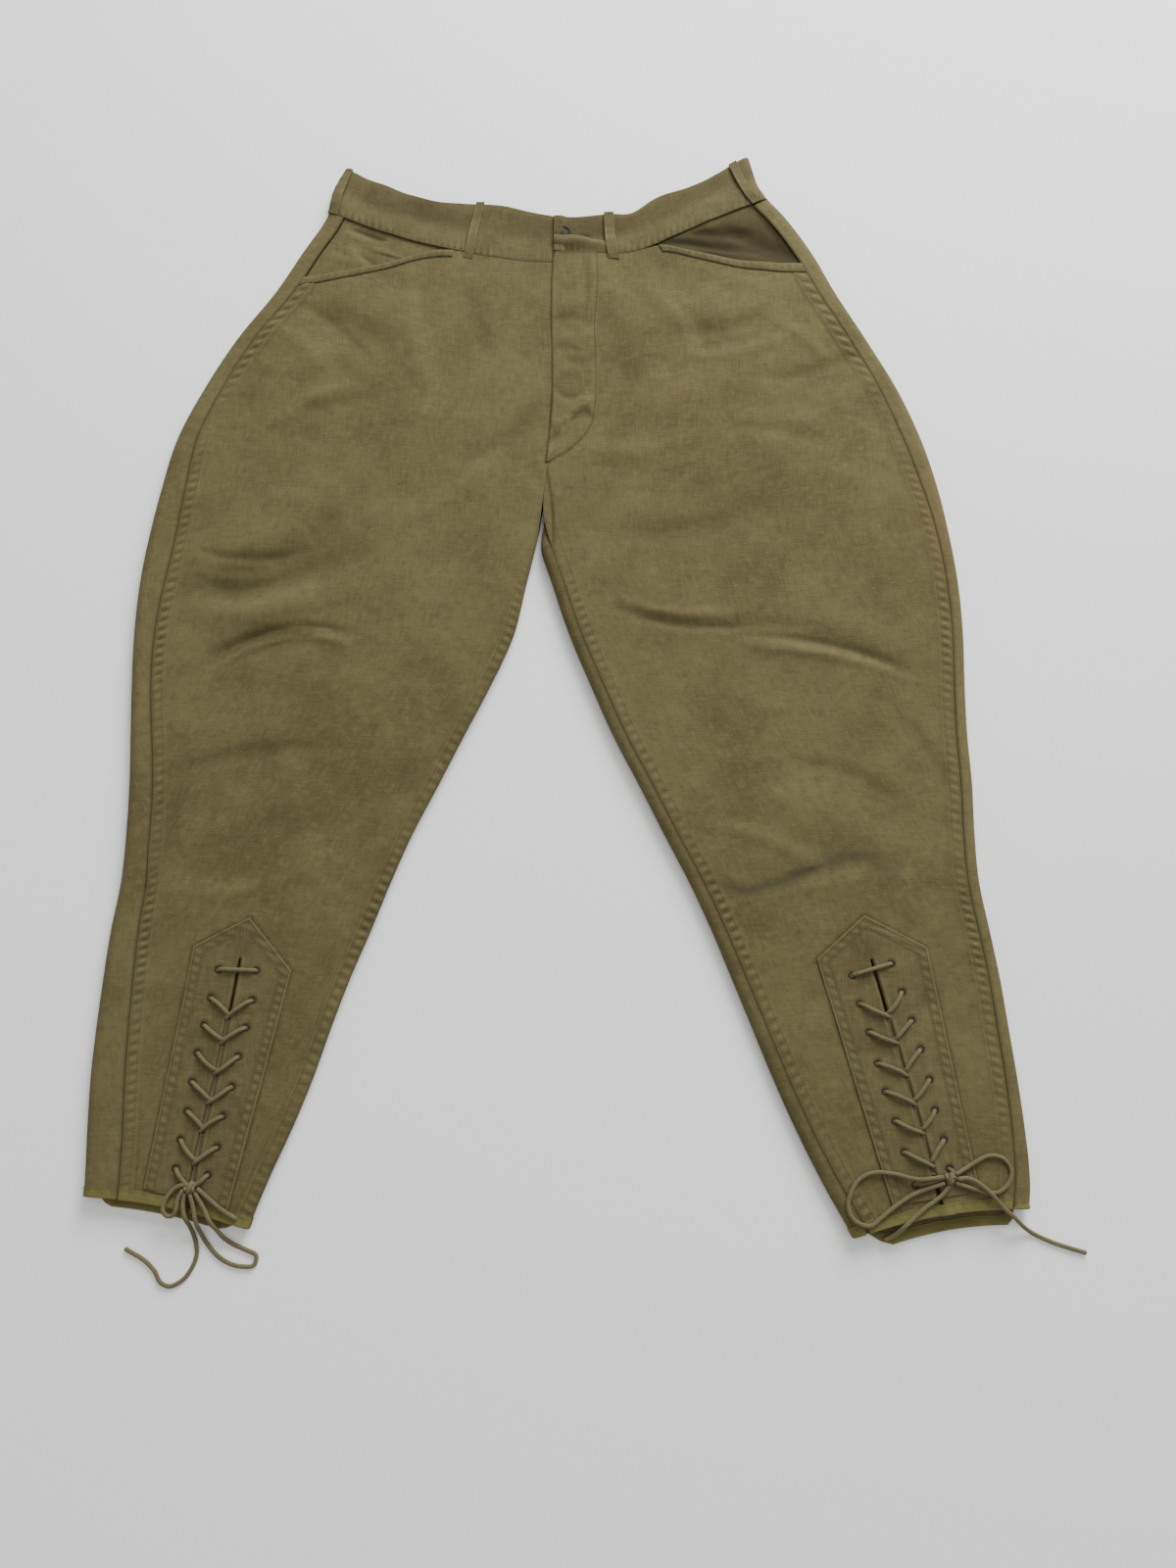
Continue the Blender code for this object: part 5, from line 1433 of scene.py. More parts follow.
def make_lacing_panel(leg):
    """Pentagon sewn over the calf: a thin rolled edge, a row of stitches along it and another
    inside, soft puckers between them, and lips along the slit."""
    down, share, keep, from_slit, at_y = panel_grid(leg, 170, 92)
    x, y = panel_point(leg, down, share)
    near = edge_distance(leg, x, y)
    grid = on_top(x, y, GAP * 0.4 + TRIM / 2)
    normal = normals_of(grid, np.array([0.0, 0.0, 1.0]))
    top = SLIT[leg][0][0]
    lip_on = ease(top + 5, top - 4, y)
    run = x * 0.35 + y
    wave = np.sin(2 * math.pi * run / 8.2 + 1.3 * np.sin(run / 23.0))
    band = bell(near, 5.2, 3.0)
    lip = bell(from_slit, 2.0, 1.5) * lip_on
    dip = bell(from_slit, 0.0, 0.9) * lip_on
    rows = bell(near, 1.5, 0.7) + 0.9 * bell(near, 9.0, 0.9)
    relief = 0.26 * wave * band + 0.6 * lip - 0.4 * dip - 0.2 * rows + 0.3 * bell(near, 0.6, 0.9)
    relief = relief - 0.13 * bell(from_slit, 6.5, 1.0) * lip_on
    for lx, ly, rx, ry in EYELETS[leg]:
        for ex, ey in ((lx, ly), (rx, ry)):
            far = np.hypot(x - ex, y - ey)
            relief = relief - 0.35 * bell(far, 0, 3.4) + 0.22 * bell(far, 6.0, 2.2)
    thin = 0.15 + 0.85 * ease(0.0, 1.3, near)
    # Painted shade in the stitch grooves, the slit's dip, the puckers' troughs and round the top of
    # the slit.
    marks = {
        "worn": np.clip(0.55 * bell(near, 0.6, 0.9) + 0.24 * lip
                        + 0.30 * np.clip(wave, 0, 1) * band, 0, 1),
        "shade_and_grime": np.clip(0.45 * bell(near, 2.2, 0.7) + 0.45 * bell(near, 9, 1.1) + 0.6 * dip
                         + 0.34 * np.clip(-wave, 0, 1) * band
                         + 0.30 * bell(y, top + 8, 9) * bell(from_slit, 0, 12), 0, 1),
    }
    # Painted shade in a ring round each eyelet.
    for lx, ly, rx, ry in EYELETS[leg]:
        for ex, ey in ((lx, ly), (rx, ry)):
            marks["shade_and_grime"] = np.clip(marks["shade_and_grime"] + 0.5 * bell(np.hypot(x - ex, y - ey), 3.2, 1.3),
                                     0, 1)
    made = cloth_piece(f"lacing_panel_{leg}_cloth", grid, normal, TRIM, band_twill(),
                       (f"lacing_panel_{leg}",), (x, y), relief, keep,
                       marks, thin)


def turned(profile, sides, centre):
    """Points, quads and caps of a closed shape turned about Z, from rows of (radius, height) that
    run down."""
    radius, height = np.asarray(profile, float).T
    turn = np.linspace(0, 2 * math.pi, sides, endpoint=False)
    verts = np.stack([radius[:, None] * np.cos(turn), radius[:, None] * np.sin(turn),
                      np.broadcast_to(height[:, None], (len(radius), sides))], -1)
    quads, caps = ring_faces(len(radius), sides)
    return verts.reshape(-1, 3) + centre, quads, caps


EYELET = ((0.4, -0.22), (1.7, -0.2), (2.0, 0.3), (2.3, 0.56), (2.75, 0.62), (3.2, 0.44),
          (3.45, 0.12), (3.45, -0.25), (1.0, -0.3))


def make_eyelets(leg):
    """Eyelets: a rolled ring round each dark hole, turned about the hole's axis."""
    verts, faces, caps = [], [], []
    base = 0
    for row in EYELETS[leg]:
        for x, y in (row[:2], row[2:]):
            z = float(top_height(x, y)) + GAP * 0.4 + TRIM - 0.25
            points, quads, ends = turned(EYELET, 18, (x, y, z))
            verts.append(points)
            faces.append(quads + base)
            caps += [[k + base for k in cap] for cap in ends]
            base += len(points)
    new_piece(f"eyelets_{leg}", np.concatenate(verts), np.concatenate(faces), metal_material(),
              caps=caps)


def binding(name, node, edge, normal, above):
    """Folded tape round a cloth edge: a rounded U carried along the edge's points, with a row of
    stitches and soft puckers, its free edges a little wavy."""
    inward = above - edge
    inward = inward - normal * np.sum(inward * normal, axis=-1)[:, None]
    inward = inward / np.linalg.norm(inward, axis=-1)[:, None]
    high = CLOTH / 2 + GAP * 0.6 + TAPE / 2
    nose = GAP + TAPE / 2
    turn = np.linspace(math.pi / 2, -math.pi / 2, 9)
    flat = [TAPE_WIDTH * k for k in (1, 0.88, 0.8, 0.72, 0.6, 0.4, 0.2)]
    profile = np.array([(k, high) for k in flat]
                       + [(-nose * math.cos(t), high * math.sin(t)) for t in turn]
                       + [(k, -high) for k in flat[::-1]])
    a, b = profile[:, 0], profile[:, 1]
    run = np.concatenate([[0], np.cumsum(np.linalg.norm(np.diff(edge, axis=0), axis=1))])[:, None]
    wave = 0.35 * np.sin(run / 6.3 + 0.4) + 0.25 * np.sin(run / 2.9 + 1.0)
    place = a[None] + wave * np.clip(a / TAPE_WIDTH, 0, 1)[None]
    grid = (edge[:, None] + inward[:, None] * place[..., None]
            + normal[:, None] * np.broadcast_to(b, place.shape)[..., None])
    outward = (normal[:, None] * b[None, :, None]
               + inward[:, None] * np.minimum(a, 0)[None, :, None] * 3)
    normals = normals_of(grid, outward)
    pucker = np.sin(run / 1.5 + 1.5 * np.sin(run / 11.0))
    groove = bell(a, TAPE_WIDTH * 0.8, 0.9)
    relief = 0.12 * pucker * bell(a, TAPE_WIDTH * 0.6, 2.5) - 0.2 * groove + 0.0 * run
    # Painted shade in the stitch groove and the puckers' troughs.
    marks = {
        "worn": 0.40 * bell(a, -nose, 1.0) + 0.25 * bell(a, TAPE_WIDTH, 0.5) + 0.0 * run,
        "shade_and_grime": 0.35 * groove + 0.25 * np.clip(-pucker, 0, 1) * bell(a, TAPE_WIDTH * 0.6, 3.0),
    }
    cloth_piece(name, grid, normals, TAPE, tape_material(), (node,),
                (np.broadcast_to(np.arange(len(a)) * 1.1, place.shape), run + 0.0 * place),
                relief, None, marks)


def slit_share(leg, side):
    """Share across the front's hem where the slit's side lies."""
    shares = np.linspace(0, 1, 401)
    hem = front_point(leg, 1.0, shares)
    middle = smooth_curve(column(SLIT[leg], 1), hem[:, 1])
    half = smooth_curve(column(SLIT[leg], 2), hem[:, 1]) + GAP
    out = 1 if leg == "right" else -1
    return float(np.interp(0, (hem[:, 0] - middle) * out - side * half, shares))


def strip_normals(points, above, way):
    """Normals of a strip of cloth between two rows of points."""
    along = np.gradient(points, axis=0)
    normal = np.cross(along, above - points)
    normal = normal / np.linalg.norm(normal, axis=-1)[:, None]
    flat = len(points) // 2
    return normal if normal[flat, 2] * way > 0 else -normal


# How far the right inner tape runs on over the slit, and how high it lies there.
HEM_LAP = (11.0, 2.9)


def make_hems(leg):
    """Hem tapes: on the front on both sides of the slit, and round the whole of the back's edge."""
    lap = HEM_LAP[0] / float(front_width(leg, 1.0)) if leg == "right" else 0.0
    for part, ends in (("inner", (0.004, slit_share(leg, -1) + lap)),
                       ("outer", (slit_share(leg, 1), 0.996))):
        share = np.linspace(*ends, 60)
        edge = front_point(leg, 1.0, share)
        above = front_point(leg, 0.99, share)
        if (leg, part) == ("right", "inner"):
            lift = HEM_LAP[1] * ease(-HEM_LAP[0] - 4, 4 - HEM_LAP[0], edge[:, 0] - edge[-1, 0])
            edge[:, 2] += lift
            above[:, 2] += lift
        name = f"hem_tape_front_{leg}_{part}"
        binding(name + "_cloth", name, edge, strip_normals(edge, above, 1), above)
    s, r, _, _ = back_grid(leg)
    edge = tube_point(leg, s[-1], r[-1], -1)[1:-1]
    above = tube_point(leg, s[-1] - 0.01, r[-1], -1)[1:-1]
    name = f"hem_tape_back_{leg}"
    binding(name + "_cloth", name, edge, strip_normals(edge, above, -1), above)


def loop_grid(leg, foot, head, front):
    """A belt loop's middle wall: up the waistband and off it in the middle, with a tail that is
    tacked down below the seam on the front ones."""
    half = LOOP_WIDTH / 2 / float(tube_length(leg, BAND_MIDDLE, BAND_CLOTH))
    level, across = grid_of(np.linspace(0.0, -0.0572, 40), np.linspace(-1, 1, 9))
    up = np.clip(-level / BAND_RISE, 0, 1)
    grid = band_point(leg, level, foot + (head - foot) * up + across * half, 1)
    normal = normals_of(grid, np.array([0.0, 0.0, 1.0]))
    up = up[..., None]
    grid = grid + normal * (BAND_CLOTH / 2 + GAP + TRIM / 2 + LOOP_STAND * np.sin(math.pi * up))
    if front:
        run = grid[0] - grid[3]
        run = run / np.linalg.norm(run, axis=-1)[:, None]
        far = np.linspace(1, 0.15, 6)[:, None, None] * LOOP_TAIL
        tail = grid[0][None] + run[None] * far
        tail[..., 2] = grid[0][None, :, 2] + GAP - 0.2 * far[..., 0]
        grid = np.concatenate([tail, grid])
    return grid


def make_belt_loop(name):
    """Belt loop: a strip with rolled edges and two rows of stitches."""
    grid = loop_grid(*BELT_LOOPS[name], "front" in name)
    normal = normals_of(grid, np.array([0.0, 0.0, 1.0]))
    across = np.broadcast_to(np.linspace(-1, 1, 9), grid.shape[:2])
    down = np.broadcast_to(np.linspace(0, 1, grid.shape[0])[:, None], grid.shape[:2])
    relief = 0.25 * bell(np.abs(across), 0.78, 0.2) - 0.16 * bell(np.abs(across), 0.5, 0.12)
    relief = relief + 0.12 * np.sin(down * 34 + across)
    # Painted shade at both ends, where the loop meets the band.
    marks = {
        "worn": np.clip(0.36 * bell(np.abs(across), 0.95, 0.2) + 0.22 * bell(down, 0.5, 0.2), 0, 1),
        "shade_and_grime": np.clip(0.4 * bell(down, 0.1, 0.05) + 0.35 * bell(down, 0.98, 0.04), 0, 1),
    }
    cloth_piece(f"{name}_cloth", grid, normal, TRIM, band_twill(), (name,),
                (across * LOOP_WIDTH / 2, down * 60), relief, None, marks)


def make_button():
    """Waist button: a dished metal cap with a rolled rim, turned about its middle."""
    r = BUTTON["radius"]
    low = float(top_height(BUTTON["x"], BUTTON["y"])) + BUTTON["over"]
    profile = ((0.3, 2.0), (r * 0.2, 1.9), (r * 0.34, 1.55), (r * 0.5, 1.35), (r * 0.68, 1.5),
               (r * 0.76, 1.95), (r * 0.86, 2.15), (r * 0.96, 1.7), (r, 1.0), (r * 0.97, 0.35),
               (r * 0.8, 0.0), (0.5, 0.0))
    verts, quads, caps = turned(profile, 40, (BUTTON["x"], BUTTON["y"], low))
    new_piece("waist_button_cap", verts, quads, metal_material(),
              ("waist_button",), sharp=45, caps=caps)


def smooth_route(points, step):
    """Evenly spaced points on a smooth curve through the route's own points."""
    points = np.asarray(points, float)
    lengths = np.linalg.norm(np.diff(points, axis=0), axis=1)
    at = np.concatenate([[0], np.cumsum(lengths)])
    fine = np.linspace(0, at[-1], 40 * len(points))
    path = np.stack([smooth_curve(list(zip(at, points[:, k])), fine) for k in range(3)], -1)
    run = np.concatenate([[0], np.cumsum(np.linalg.norm(np.diff(path, axis=0), axis=1))])
    count = max(int(round(run[-1] / step)), 4)
    even = np.linspace(0, run[-1], count + 1)
    return np.stack([np.interp(even, run, path[:, k]) for k in range(3)], -1)


LACE_STEP = 1.6


def lace_radius():
    return lace_settings().diameter / MM / 2


def make_free_laces():
    """The loops and ends of both laces, each a free cord that leaves its knot."""
    for name, route in LACE_ROUTES.items():
        path = smooth_route(route, LACE_STEP)
        path[:, 2] = np.maximum(path[:, 2], lace_radius() + 0.02)
        made = lace_piece(f"{name}_braid", [tube(path, lace_radius(), 12)], (name,))


def make_strands(leg):
    """The lacing: at the top pair one bar from hole to hole, and at each other pair a strand from
    each hole down to the slit, one over the lip and into the slit, the other across it."""
    parts, lows, inside = [], [], []
    radius = lace_radius()
    seat = GAP * 0.4 + TRIM + radius
    out = 1 if leg == "right" else -1
    for row, (lx, ly, rx, ry) in enumerate(EYELETS[leg]):
        left, right = np.array((lx, ly), float), np.array((rx, ry), float)
        if row == 0:
            ends = [(left, right, 0.0, 0.0)]
        elif row < len(EYELETS[leg]) - 1:
            drop = STRAND_DROP * (1 + 0.08 * math.sin(2.3 * row))
            low_y = (ly + ry) / 2 - drop
            mid_x = float(smooth_curve(column(SLIT[leg], 1), low_y))
            first, second = (left, right) if out < 0 else (right, left)
            way = np.sign(second[0] - first[0])
            ends = [(first, np.array((mid_x + way * 1.2, low_y + 1.0)), 0.0, -2.6),
                    (second, np.array((mid_x - way * 1.8, low_y - 1.0)), 0.0, -1.9)]
            lows.append((mid_x, low_y))
        else:
            knot = np.array(KNOTS[leg][:2])
            ends = [(left, knot + (-2.5, 1.5), 0.0, 1.2), (right, knot + (2.5, 1.5), 0.0, 1.2)]
        for order, (start, stop, dip, sink) in enumerate(ends):
            t = np.linspace(0, 1, 26)
            start = start + (stop - start) * 0.9 / np.linalg.norm(stop - start)
            flat = start + (stop - start) * t[:, None]
            side = np.array((start[1] - stop[1], stop[0] - start[0]))
            side = side / np.linalg.norm(side)
            bow = 1.1 * math.sin(1.7 * row + 2.1 * order) * np.sin(math.pi * t)
            flat = flat + side * bow[:, None]
            z = top_height(flat[:, 0], flat[:, 1]) + seat
            z = z + 0.9 * np.sin(math.pi * np.clip(t * 1.15, 0, 1)) * (1.35 if order else 0.7)
            z = z - 2.3 * ease(0.12, 0.0, t) + sink * ease(0.8, 1.0, t)
            if row == 0:
                z = z - 2.3 * ease(0.88, 1.0, t)
            parts.append(np.stack([flat[:, 0], flat[:, 1], z], -1))
    lows.append((KNOTS[leg][0], KNOTS[leg][1] + 4.0))
    t = np.linspace(0, 1, 20)
    for (x0, y0), (x1, y1) in zip(lows, lows[1:]):
        y = y0 - 3.0 + (y1 - y0 + 2.0) * t
        middle = smooth_curve(column(SLIT[leg], 1), y)
        for side in (-1, 1):
            x = middle + side * (0.95 + 0.25 * np.sin(4 * t + side + y0))
            z = top_height(x, y) + 0.4 - 1.6 * np.sin(math.pi * t) ** 0.5
            inside.append(tube(np.stack([x, y, z], -1), 0.55 * radius, 8))
    nodes = tuple(f"lace_rung_{leg}_{k + 1}" for k in range(len(EYELETS[leg])))
    lace_piece(f"lacing_{leg}", [tube(path, radius) for path in parts] + inside, nodes)


def make_knot(leg):
    """Tied centre of a bow: a flat three-lobed knot, its path 2 + cos 3t about the middle."""
    x, y, z = KNOTS[leg]
    t = np.linspace(0, 2 * math.pi, 110)
    turn = 0.5 if leg == "left" else -0.3
    px = (np.sin(t) + 2 * np.sin(2 * t)) * 1.35
    py = (np.cos(t) - 2 * np.cos(2 * t)) * 1.1
    pz = -np.sin(3 * t) * 1.1
    path = np.stack([x + px * math.cos(turn) - py * math.sin(turn),
                     y + px * math.sin(turn) + py * math.cos(turn), z + pz], -1)
    parts = [tube(path, lace_radius() * 0.95)]
    wrap_t = np.linspace(-0.15 * math.pi, 1.15 * math.pi, 30)
    wrap = np.stack([x + 1.2 * np.cos(wrap_t), y + 3.6 * np.cos(wrap_t), z + 2.4 * np.sin(wrap_t)], -1)
    parts.append(tube(wrap, lace_radius()))
    lace_piece(f"lace_knot_{leg}_braid", parts, (f"lace_knot_{leg}",))


STITCH = {"pitch": 3.1, "length": 2.3, "radius": 0.26, "sink": 0.10}


def stitches(name, lines):
    """Stitches along lines of points with normals: each a short six-sided spindle, sunk a little
    into the cloth."""
    turn = np.linspace(0, 2 * math.pi, 6, endpoint=False)
    stations = np.array([-0.5, -0.3, 0.0, 0.3, 0.5]) * STITCH["length"]
    radii = np.array([0.25, 0.85, 1.0, 0.85, 0.25]) * STITCH["radius"]
    rise = np.array([-0.22, -0.04, 0.0, -0.04, -0.22])
    quads, (first, last) = ring_faces(5, 6)
    ends = [cap[k:k + 3] + [cap[(k + 3) % 6]] for cap in (first, last) for k in (0, 3)]
    shape = np.concatenate([quads, np.array(ends)])
    verts, faces, base = [], [], 0
    for points, normal in lines:
        run = np.concatenate([[0], np.cumsum(np.linalg.norm(np.diff(points, axis=0), axis=1))])
        at = np.arange(STITCH["pitch"] / 2, run[-1], STITCH["pitch"])
        centre = np.stack([np.interp(at, run, points[:, k]) for k in range(3)], -1)
        ahead = np.stack([np.interp(at + 0.6, run, points[:, k]) for k in range(3)], -1)
        behind = np.stack([np.interp(at - 0.6, run, points[:, k]) for k in range(3)], -1)
        along = ahead - behind
        along = along / np.linalg.norm(along, axis=1)[:, None]
        up = np.stack([np.interp(at, run, normal[:, k]) for k in range(3)], -1)
        up = up - along * np.sum(up * along, axis=1)[:, None]
        up = up / np.linalg.norm(up, axis=1)[:, None]
        side = np.cross(along, up)
        lift = rise[None, :, None, None] - STITCH["sink"] + STITCH["radius"] * 0.5
        ring = (np.cos(turn)[None, None, :, None] * side[:, None, None]
                + np.sin(turn)[None, None, :, None] * up[:, None, None])
        spot = (centre[:, None, None] + along[:, None, None] * stations[None, :, None, None]
                + ring * radii[None, :, None, None] + up[:, None, None] * lift)
        count = len(at)
        verts.append(spot.reshape(-1, 3))
        starts = base + np.arange(count)[:, None, None] * 30
        faces.append((shape[None] + starts).reshape(-1, 4))
        base += count * 30
    return new_piece(name, np.concatenate(verts), np.concatenate(faces), thread_material())


def front_line(leg, levels, shares, lift):
    """Points over the front's outer face along a line, and its normals there."""
    centre = front_point(leg, levels, shares)
    step = 0.004
    along = front_point(leg, levels + step / 4, shares) - front_point(leg, levels - step / 4, shares)
    aside = front_point(leg, levels, shares + step) - front_point(leg, levels, shares - step)
    normal = np.cross(along, aside)
    normal = normal / np.linalg.norm(normal, axis=-1)[:, None]
    flip = np.where(normal[:, 2:] < 0, -1.0, 1.0)
    normal = normal * flip
    return centre + normal * (CLOTH / 2 + lift), normal


def seam_lines(leg):
    """Rows of stitches on the felled seams of one leg."""
    level = np.linspace(0.079, 0.985, 700)
    width = front_width(leg, level)
    lines = []
    for far in (1.8, SEAM_WIDTH - 1.6):
        lines.append(front_line(leg, level, 1 - far / width, 0.32))
    low = np.linspace(0.26, 0.985, 600)
    width = front_width(leg, low)
    if leg == "right":
        for far in (1.8, SEAM_WIDTH - 1.6):
            lines.append(front_line(leg, low, far / width, 0.32))
    share = np.linspace(POCKET_START + 0.01, 0.985, 160)
    for down in (0.2, 0.8):
        lines.append(front_line(leg, mouth_depth(leg, share) + WELT_DEPTH * down, share,
                                GAP / 2 + TRIM - 0.08))
    return lines


def panel_lines(leg):
    """Rows of stitches on a lacing panel: along its edge, inside it, and beside the slit."""
    shape = LACING_PANEL[leg]
    (l, r), (f, g) = shape["shoulders"], shape["feet"]
    corners = np.array([f, l, shape["apex"], r, g], float)
    centre = np.array(shape["apex"], float) * 0.5 + (np.array(f) + np.array(g)) * 0.25
    lines = []
    for inset in (1.5, 9.0):
        moved = []
        for k in range(len(corners) - 1):
            a, b = corners[k], corners[k + 1]
            along = (b - a) / np.linalg.norm(b - a)
            side = np.array((along[1], -along[0]))
            if np.dot(side, centre - a) < 0:
                side = -side
            moved.append((a + side * inset, along))
        points = [moved[0][0]]
        for (p, u), (q, v) in zip(moved, moved[1:]):
            t = np.linalg.solve(np.array([u, -v]).T, q - p)[0]
            points.append(p + u * t)
        last, along = moved[-1]
        points.append(corners[-1] + (last - corners[-2]))
        path = []
        for a, b in zip(points, points[1:]):
            t = np.linspace(0, 1, 60, endpoint=False)[:, None]
            path.append(a + (b - a) * t)
        path = np.concatenate(path)
        lines.append(flat_line(path[:, 0], path[:, 1], GAP * 0.4 + TRIM - 0.12))
    y = np.linspace(SLIT[leg][0][0] + 3, -482, 240)
    x = smooth_curve(column(SLIT[leg], 1), y)
    half = smooth_curve(column(SLIT[leg], 2), y) + 6.5
    for side in (-1, 1):
        lines.append(flat_line(x + side * half, y, GAP * 0.4 + TRIM - 0.08))
    return lines


def flat_line(x, y, lift):
    """Points over the upper cloth along a line, with its normals."""
    step = 1.0
    slope_x = (top_height(x + step, y) - top_height(x - step, y)) / (2 * step)
    slope_y = (top_height(x, y + step) - top_height(x, y - step)) / (2 * step)
    normal = np.stack([-slope_x, -slope_y, np.ones_like(slope_x)], -1)
    return on_top(x, y, lift), normal / np.linalg.norm(normal, axis=-1)[:, None]


def make_stitching():
    """All the stitches in view, a piece for each leg and one for the waist."""
    for leg in LEGS:
        stitches(f"leg_stitching_{leg}", seam_lines(leg) + panel_lines(leg))
    lines = []
    y = np.linspace(398, 232, 160)
    x = smooth_curve(column(FLY_PLACKET, 2), y) - 2.2
    lines.append(flat_line(x, y, 1.05))
    y = np.linspace(231, 190, 60)
    x = smooth_curve(column(FLY_PLACKET, 2), y) - 1.8
    lines.append(flat_line(x, y + 1.2, 1.0))
    for leg in LEGS:
        share = np.linspace(0.012, 0.985, 220)
        for up in (0.07, 0.955):
            level = np.full_like(share, -up * BAND_RISE)
            grid = np.stack([band_point(leg, level + d, share, 1) for d in (0.0004, 0, -0.0004)])
            normal = normals_of(grid, np.array([0.0, 0.0, 1.0]))[1]
            lines.append((grid[1] + normal * (BAND_CLOTH / 2 - 0.1), normal))
    stitches("waist_stitching", lines)


def make_stage():
    """Pale floor, soft light from beyond the waist and from above, and the camera, which stands
    near the hips and looks down, tilted a little to the waist."""
    settings = bpy.context.scene.breeches_stage
    mesh = bpy.data.meshes.new("floor")
    reach = 6.0
    mesh.from_pydata([(-reach, -reach, 0.0), (reach, -reach, 0.0), (reach, reach, 0.0),
                      (-reach, reach, 0.0)], [], [(0, 1, 2, 3)])
    n = Nodes("floor_paper")
    fibre = n.noise(n.place("Object"), 3.0, 3.0)
    color = tuple(settings.floor)
    paper = n.mix(n.span(fibre, 0.3, 0.7), shade(color, 0.995), color)
    n.finish(paper, 0.9)
    mesh.materials.append(n.mat)
    floor = bpy.data.objects.new("floor", mesh)
    bpy.context.scene.collection.objects.link(floor)
    for name, power, size, place, turn in (
            ("key_light", settings.key, 1.6, (0.95, 2.2, 1.5), (-1.01, 0.0, -0.41)),
            ("fill_light", settings.fill, 3.0, (0.1, -0.2, 2.6), (0.0, 0.0, 0.0))):
        data = bpy.data.lights.new(name, "AREA")
        data.energy = power
        data.size = size
        data.shape = "SQUARE"
        light = bpy.data.objects.new(name, data)
        light.location = place
        light.rotation_euler = turn
        bpy.context.scene.collection.objects.link(light)
    world = bpy.data.worlds.new("even_sky")
    world.use_nodes = True
    sky = world.node_tree.nodes["Background"]
    sky.inputs["Color"].default_value = (1.0, 1.0, 0.99, 1.0)
    sky.inputs["Strength"].default_value = settings.sky
    bpy.context.scene.world = world
    data = bpy.data.cameras.new("camera")
    data.lens = 27.0
    data.sensor_width = 36.0
    camera = bpy.data.objects.new("camera", data)
    camera.location = (0.027, -0.3732, 1.040)
    camera.rotation_euler = (math.radians(13.0), 0.0, 0.0)
    bpy.context.scene.collection.objects.link(camera)
    bpy.context.scene.camera = camera


class BREECHES_OT_stage(bpy.types.Operator):
    """Make the floor, the lights and the camera"""

    bl_idname = "breeches.stage"
    bl_label = "Stage"

    def execute(self, context):
        make_stage()
        return {"FINISHED"}


class BREECHES_OT_laces(bpy.types.Operator):
    """Make the lacing, its eyelets, the knots and the free bows and ends"""

    bl_idname = "breeches.laces"
    bl_label = "Laces"

    def execute(self, context):
        make_free_laces()
        for leg in LEGS:
            make_strands(leg)
            make_knot(leg)
            make_eyelets(leg)
        return {"FINISHED"}


class BREECHES_OT_legs(bpy.types.Operator):
    """Make the fronts and backs of both legs"""

    bl_idname = "breeches.legs"
    bl_label = "Legs"

    def execute(self, context):
        for leg in LEGS:
            make_front(leg)
            make_back(leg)
        return {"FINISHED"}


class BREECHES_OT_waistband(bpy.types.Operator):
    """Make the three lengths of the waistband"""

    bl_idname = "breeches.waistband"
    bl_label = "Waistband"

    def execute(self, context):
        for leg in LEGS:
            make_band_front(leg)
        make_band_back()
        return {"FINISHED"}


class BREECHES_OT_pockets(bpy.types.Operator):
    """Make the facings and welts of both slant pockets"""

    bl_idname = "breeches.pockets"
    bl_label = "Pockets"

    def execute(self, context):
        for leg in LEGS:
            make_facing(leg)
            make_welt(leg)
        return {"FINISHED"}


class BREECHES_OT_fly(bpy.types.Operator):
    """Make the fly placket"""

    bl_idname = "breeches.fly"
    bl_label = "Fly"

    def execute(self, context):
        make_placket()
        return {"FINISHED"}


class BREECHES_OT_calf_panels(bpy.types.Operator):
    """Make the lacing panels on both calves"""

    bl_idname = "breeches.calf_panels"
    bl_label = "Calf panels"

    def execute(self, context):
        for leg in LEGS:
            make_lacing_panel(leg)
        return {"FINISHED"}


class BREECHES_OT_hems(bpy.types.Operator):
    """Make the tapes round the hems"""

    bl_idname = "breeches.hems"
    bl_label = "Hem tapes"

    def execute(self, context):
        for leg in LEGS:
            make_hems(leg)
        return {"FINISHED"}


class BREECHES_OT_belt_loops(bpy.types.Operator):
    """Make the belt loops"""

    bl_idname = "breeches.belt_loops"
    bl_label = "Belt loops"

    def execute(self, context):
        for name in BELT_LOOPS:
            make_belt_loop(name)
        return {"FINISHED"}


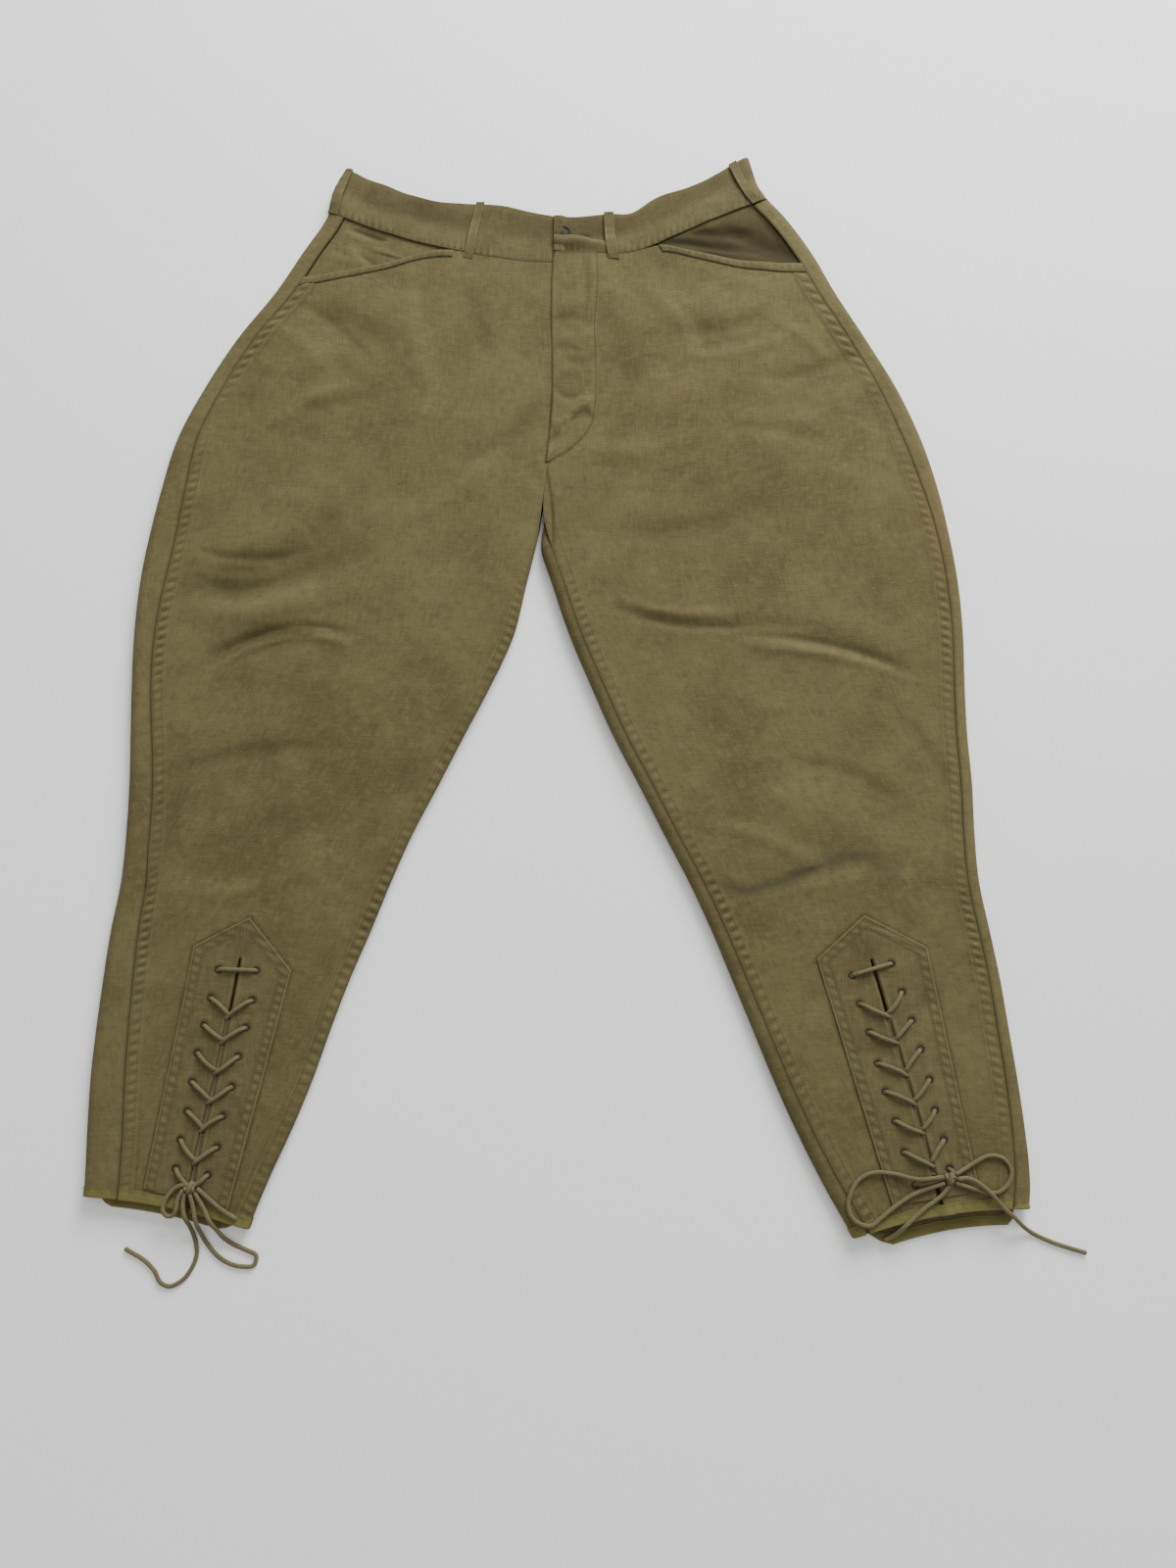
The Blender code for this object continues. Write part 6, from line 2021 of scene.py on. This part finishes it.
class BREECHES_OT_button(bpy.types.Operator):
    """Make the waist button"""

    bl_idname = "breeches.button"
    bl_label = "Button"

    def execute(self, context):
        make_button()
        return {"FINISHED"}


class BREECHES_OT_stitching(bpy.types.Operator):
    """Make the rows of stitches"""

    bl_idname = "breeches.stitching"
    bl_label = "Stitching"

    def execute(self, context):
        make_stitching()
        return {"FINISHED"}


OPERATORS = (BREECHES_OT_stage, BREECHES_OT_laces, BREECHES_OT_legs, BREECHES_OT_waistband,
             BREECHES_OT_pockets, BREECHES_OT_fly, BREECHES_OT_calf_panels, BREECHES_OT_hems,
             BREECHES_OT_belt_loops, BREECHES_OT_button, BREECHES_OT_stitching)


class BREECHES_PT_pieces(bpy.types.Panel):
    """Sizes and colours of the breeches, and a button for each piece"""

    bl_idname = "BREECHES_PT_pieces"
    bl_label = "Lace-up breeches"
    bl_space_type = "VIEW_3D"
    bl_region_type = "UI"
    bl_category = "Breeches"

    def draw(self, context):
        for settings in (context.scene.breeches_cloth, context.scene.breeches_lace,
                         context.scene.breeches_stage):
            box = self.layout.box()
            for key in settings.bl_rna.properties.keys():
                if key not in {"rna_type", "name"}:
                    box.prop(settings, key)
        for operator in OPERATORS:
            self.layout.operator(operator.bl_idname)


SETTINGS = (("breeches_cloth", ClothSettings), ("breeches_lace", LaceSettings),
            ("breeches_stage", StageSettings))


def register():
    for _, group in SETTINGS:
        bpy.utils.register_class(group)
    for key, group in SETTINGS:
        setattr(bpy.types.Scene, key, PointerProperty(type=group))
    for operator in OPERATORS:
        bpy.utils.register_class(operator)
    bpy.utils.register_class(BREECHES_PT_pieces)


def unregister():
    bpy.utils.unregister_class(BREECHES_PT_pieces)
    for operator in reversed(OPERATORS):
        bpy.utils.unregister_class(operator)
    for key, group in reversed(SETTINGS):
        delattr(bpy.types.Scene, key)
        bpy.utils.unregister_class(group)


def main():
    """Make every piece in order."""
    register()
    for operator in OPERATORS:
        group, key = operator.bl_idname.split(".")
        getattr(getattr(bpy.ops, group), key)()


if __name__ == "__main__":
    main()
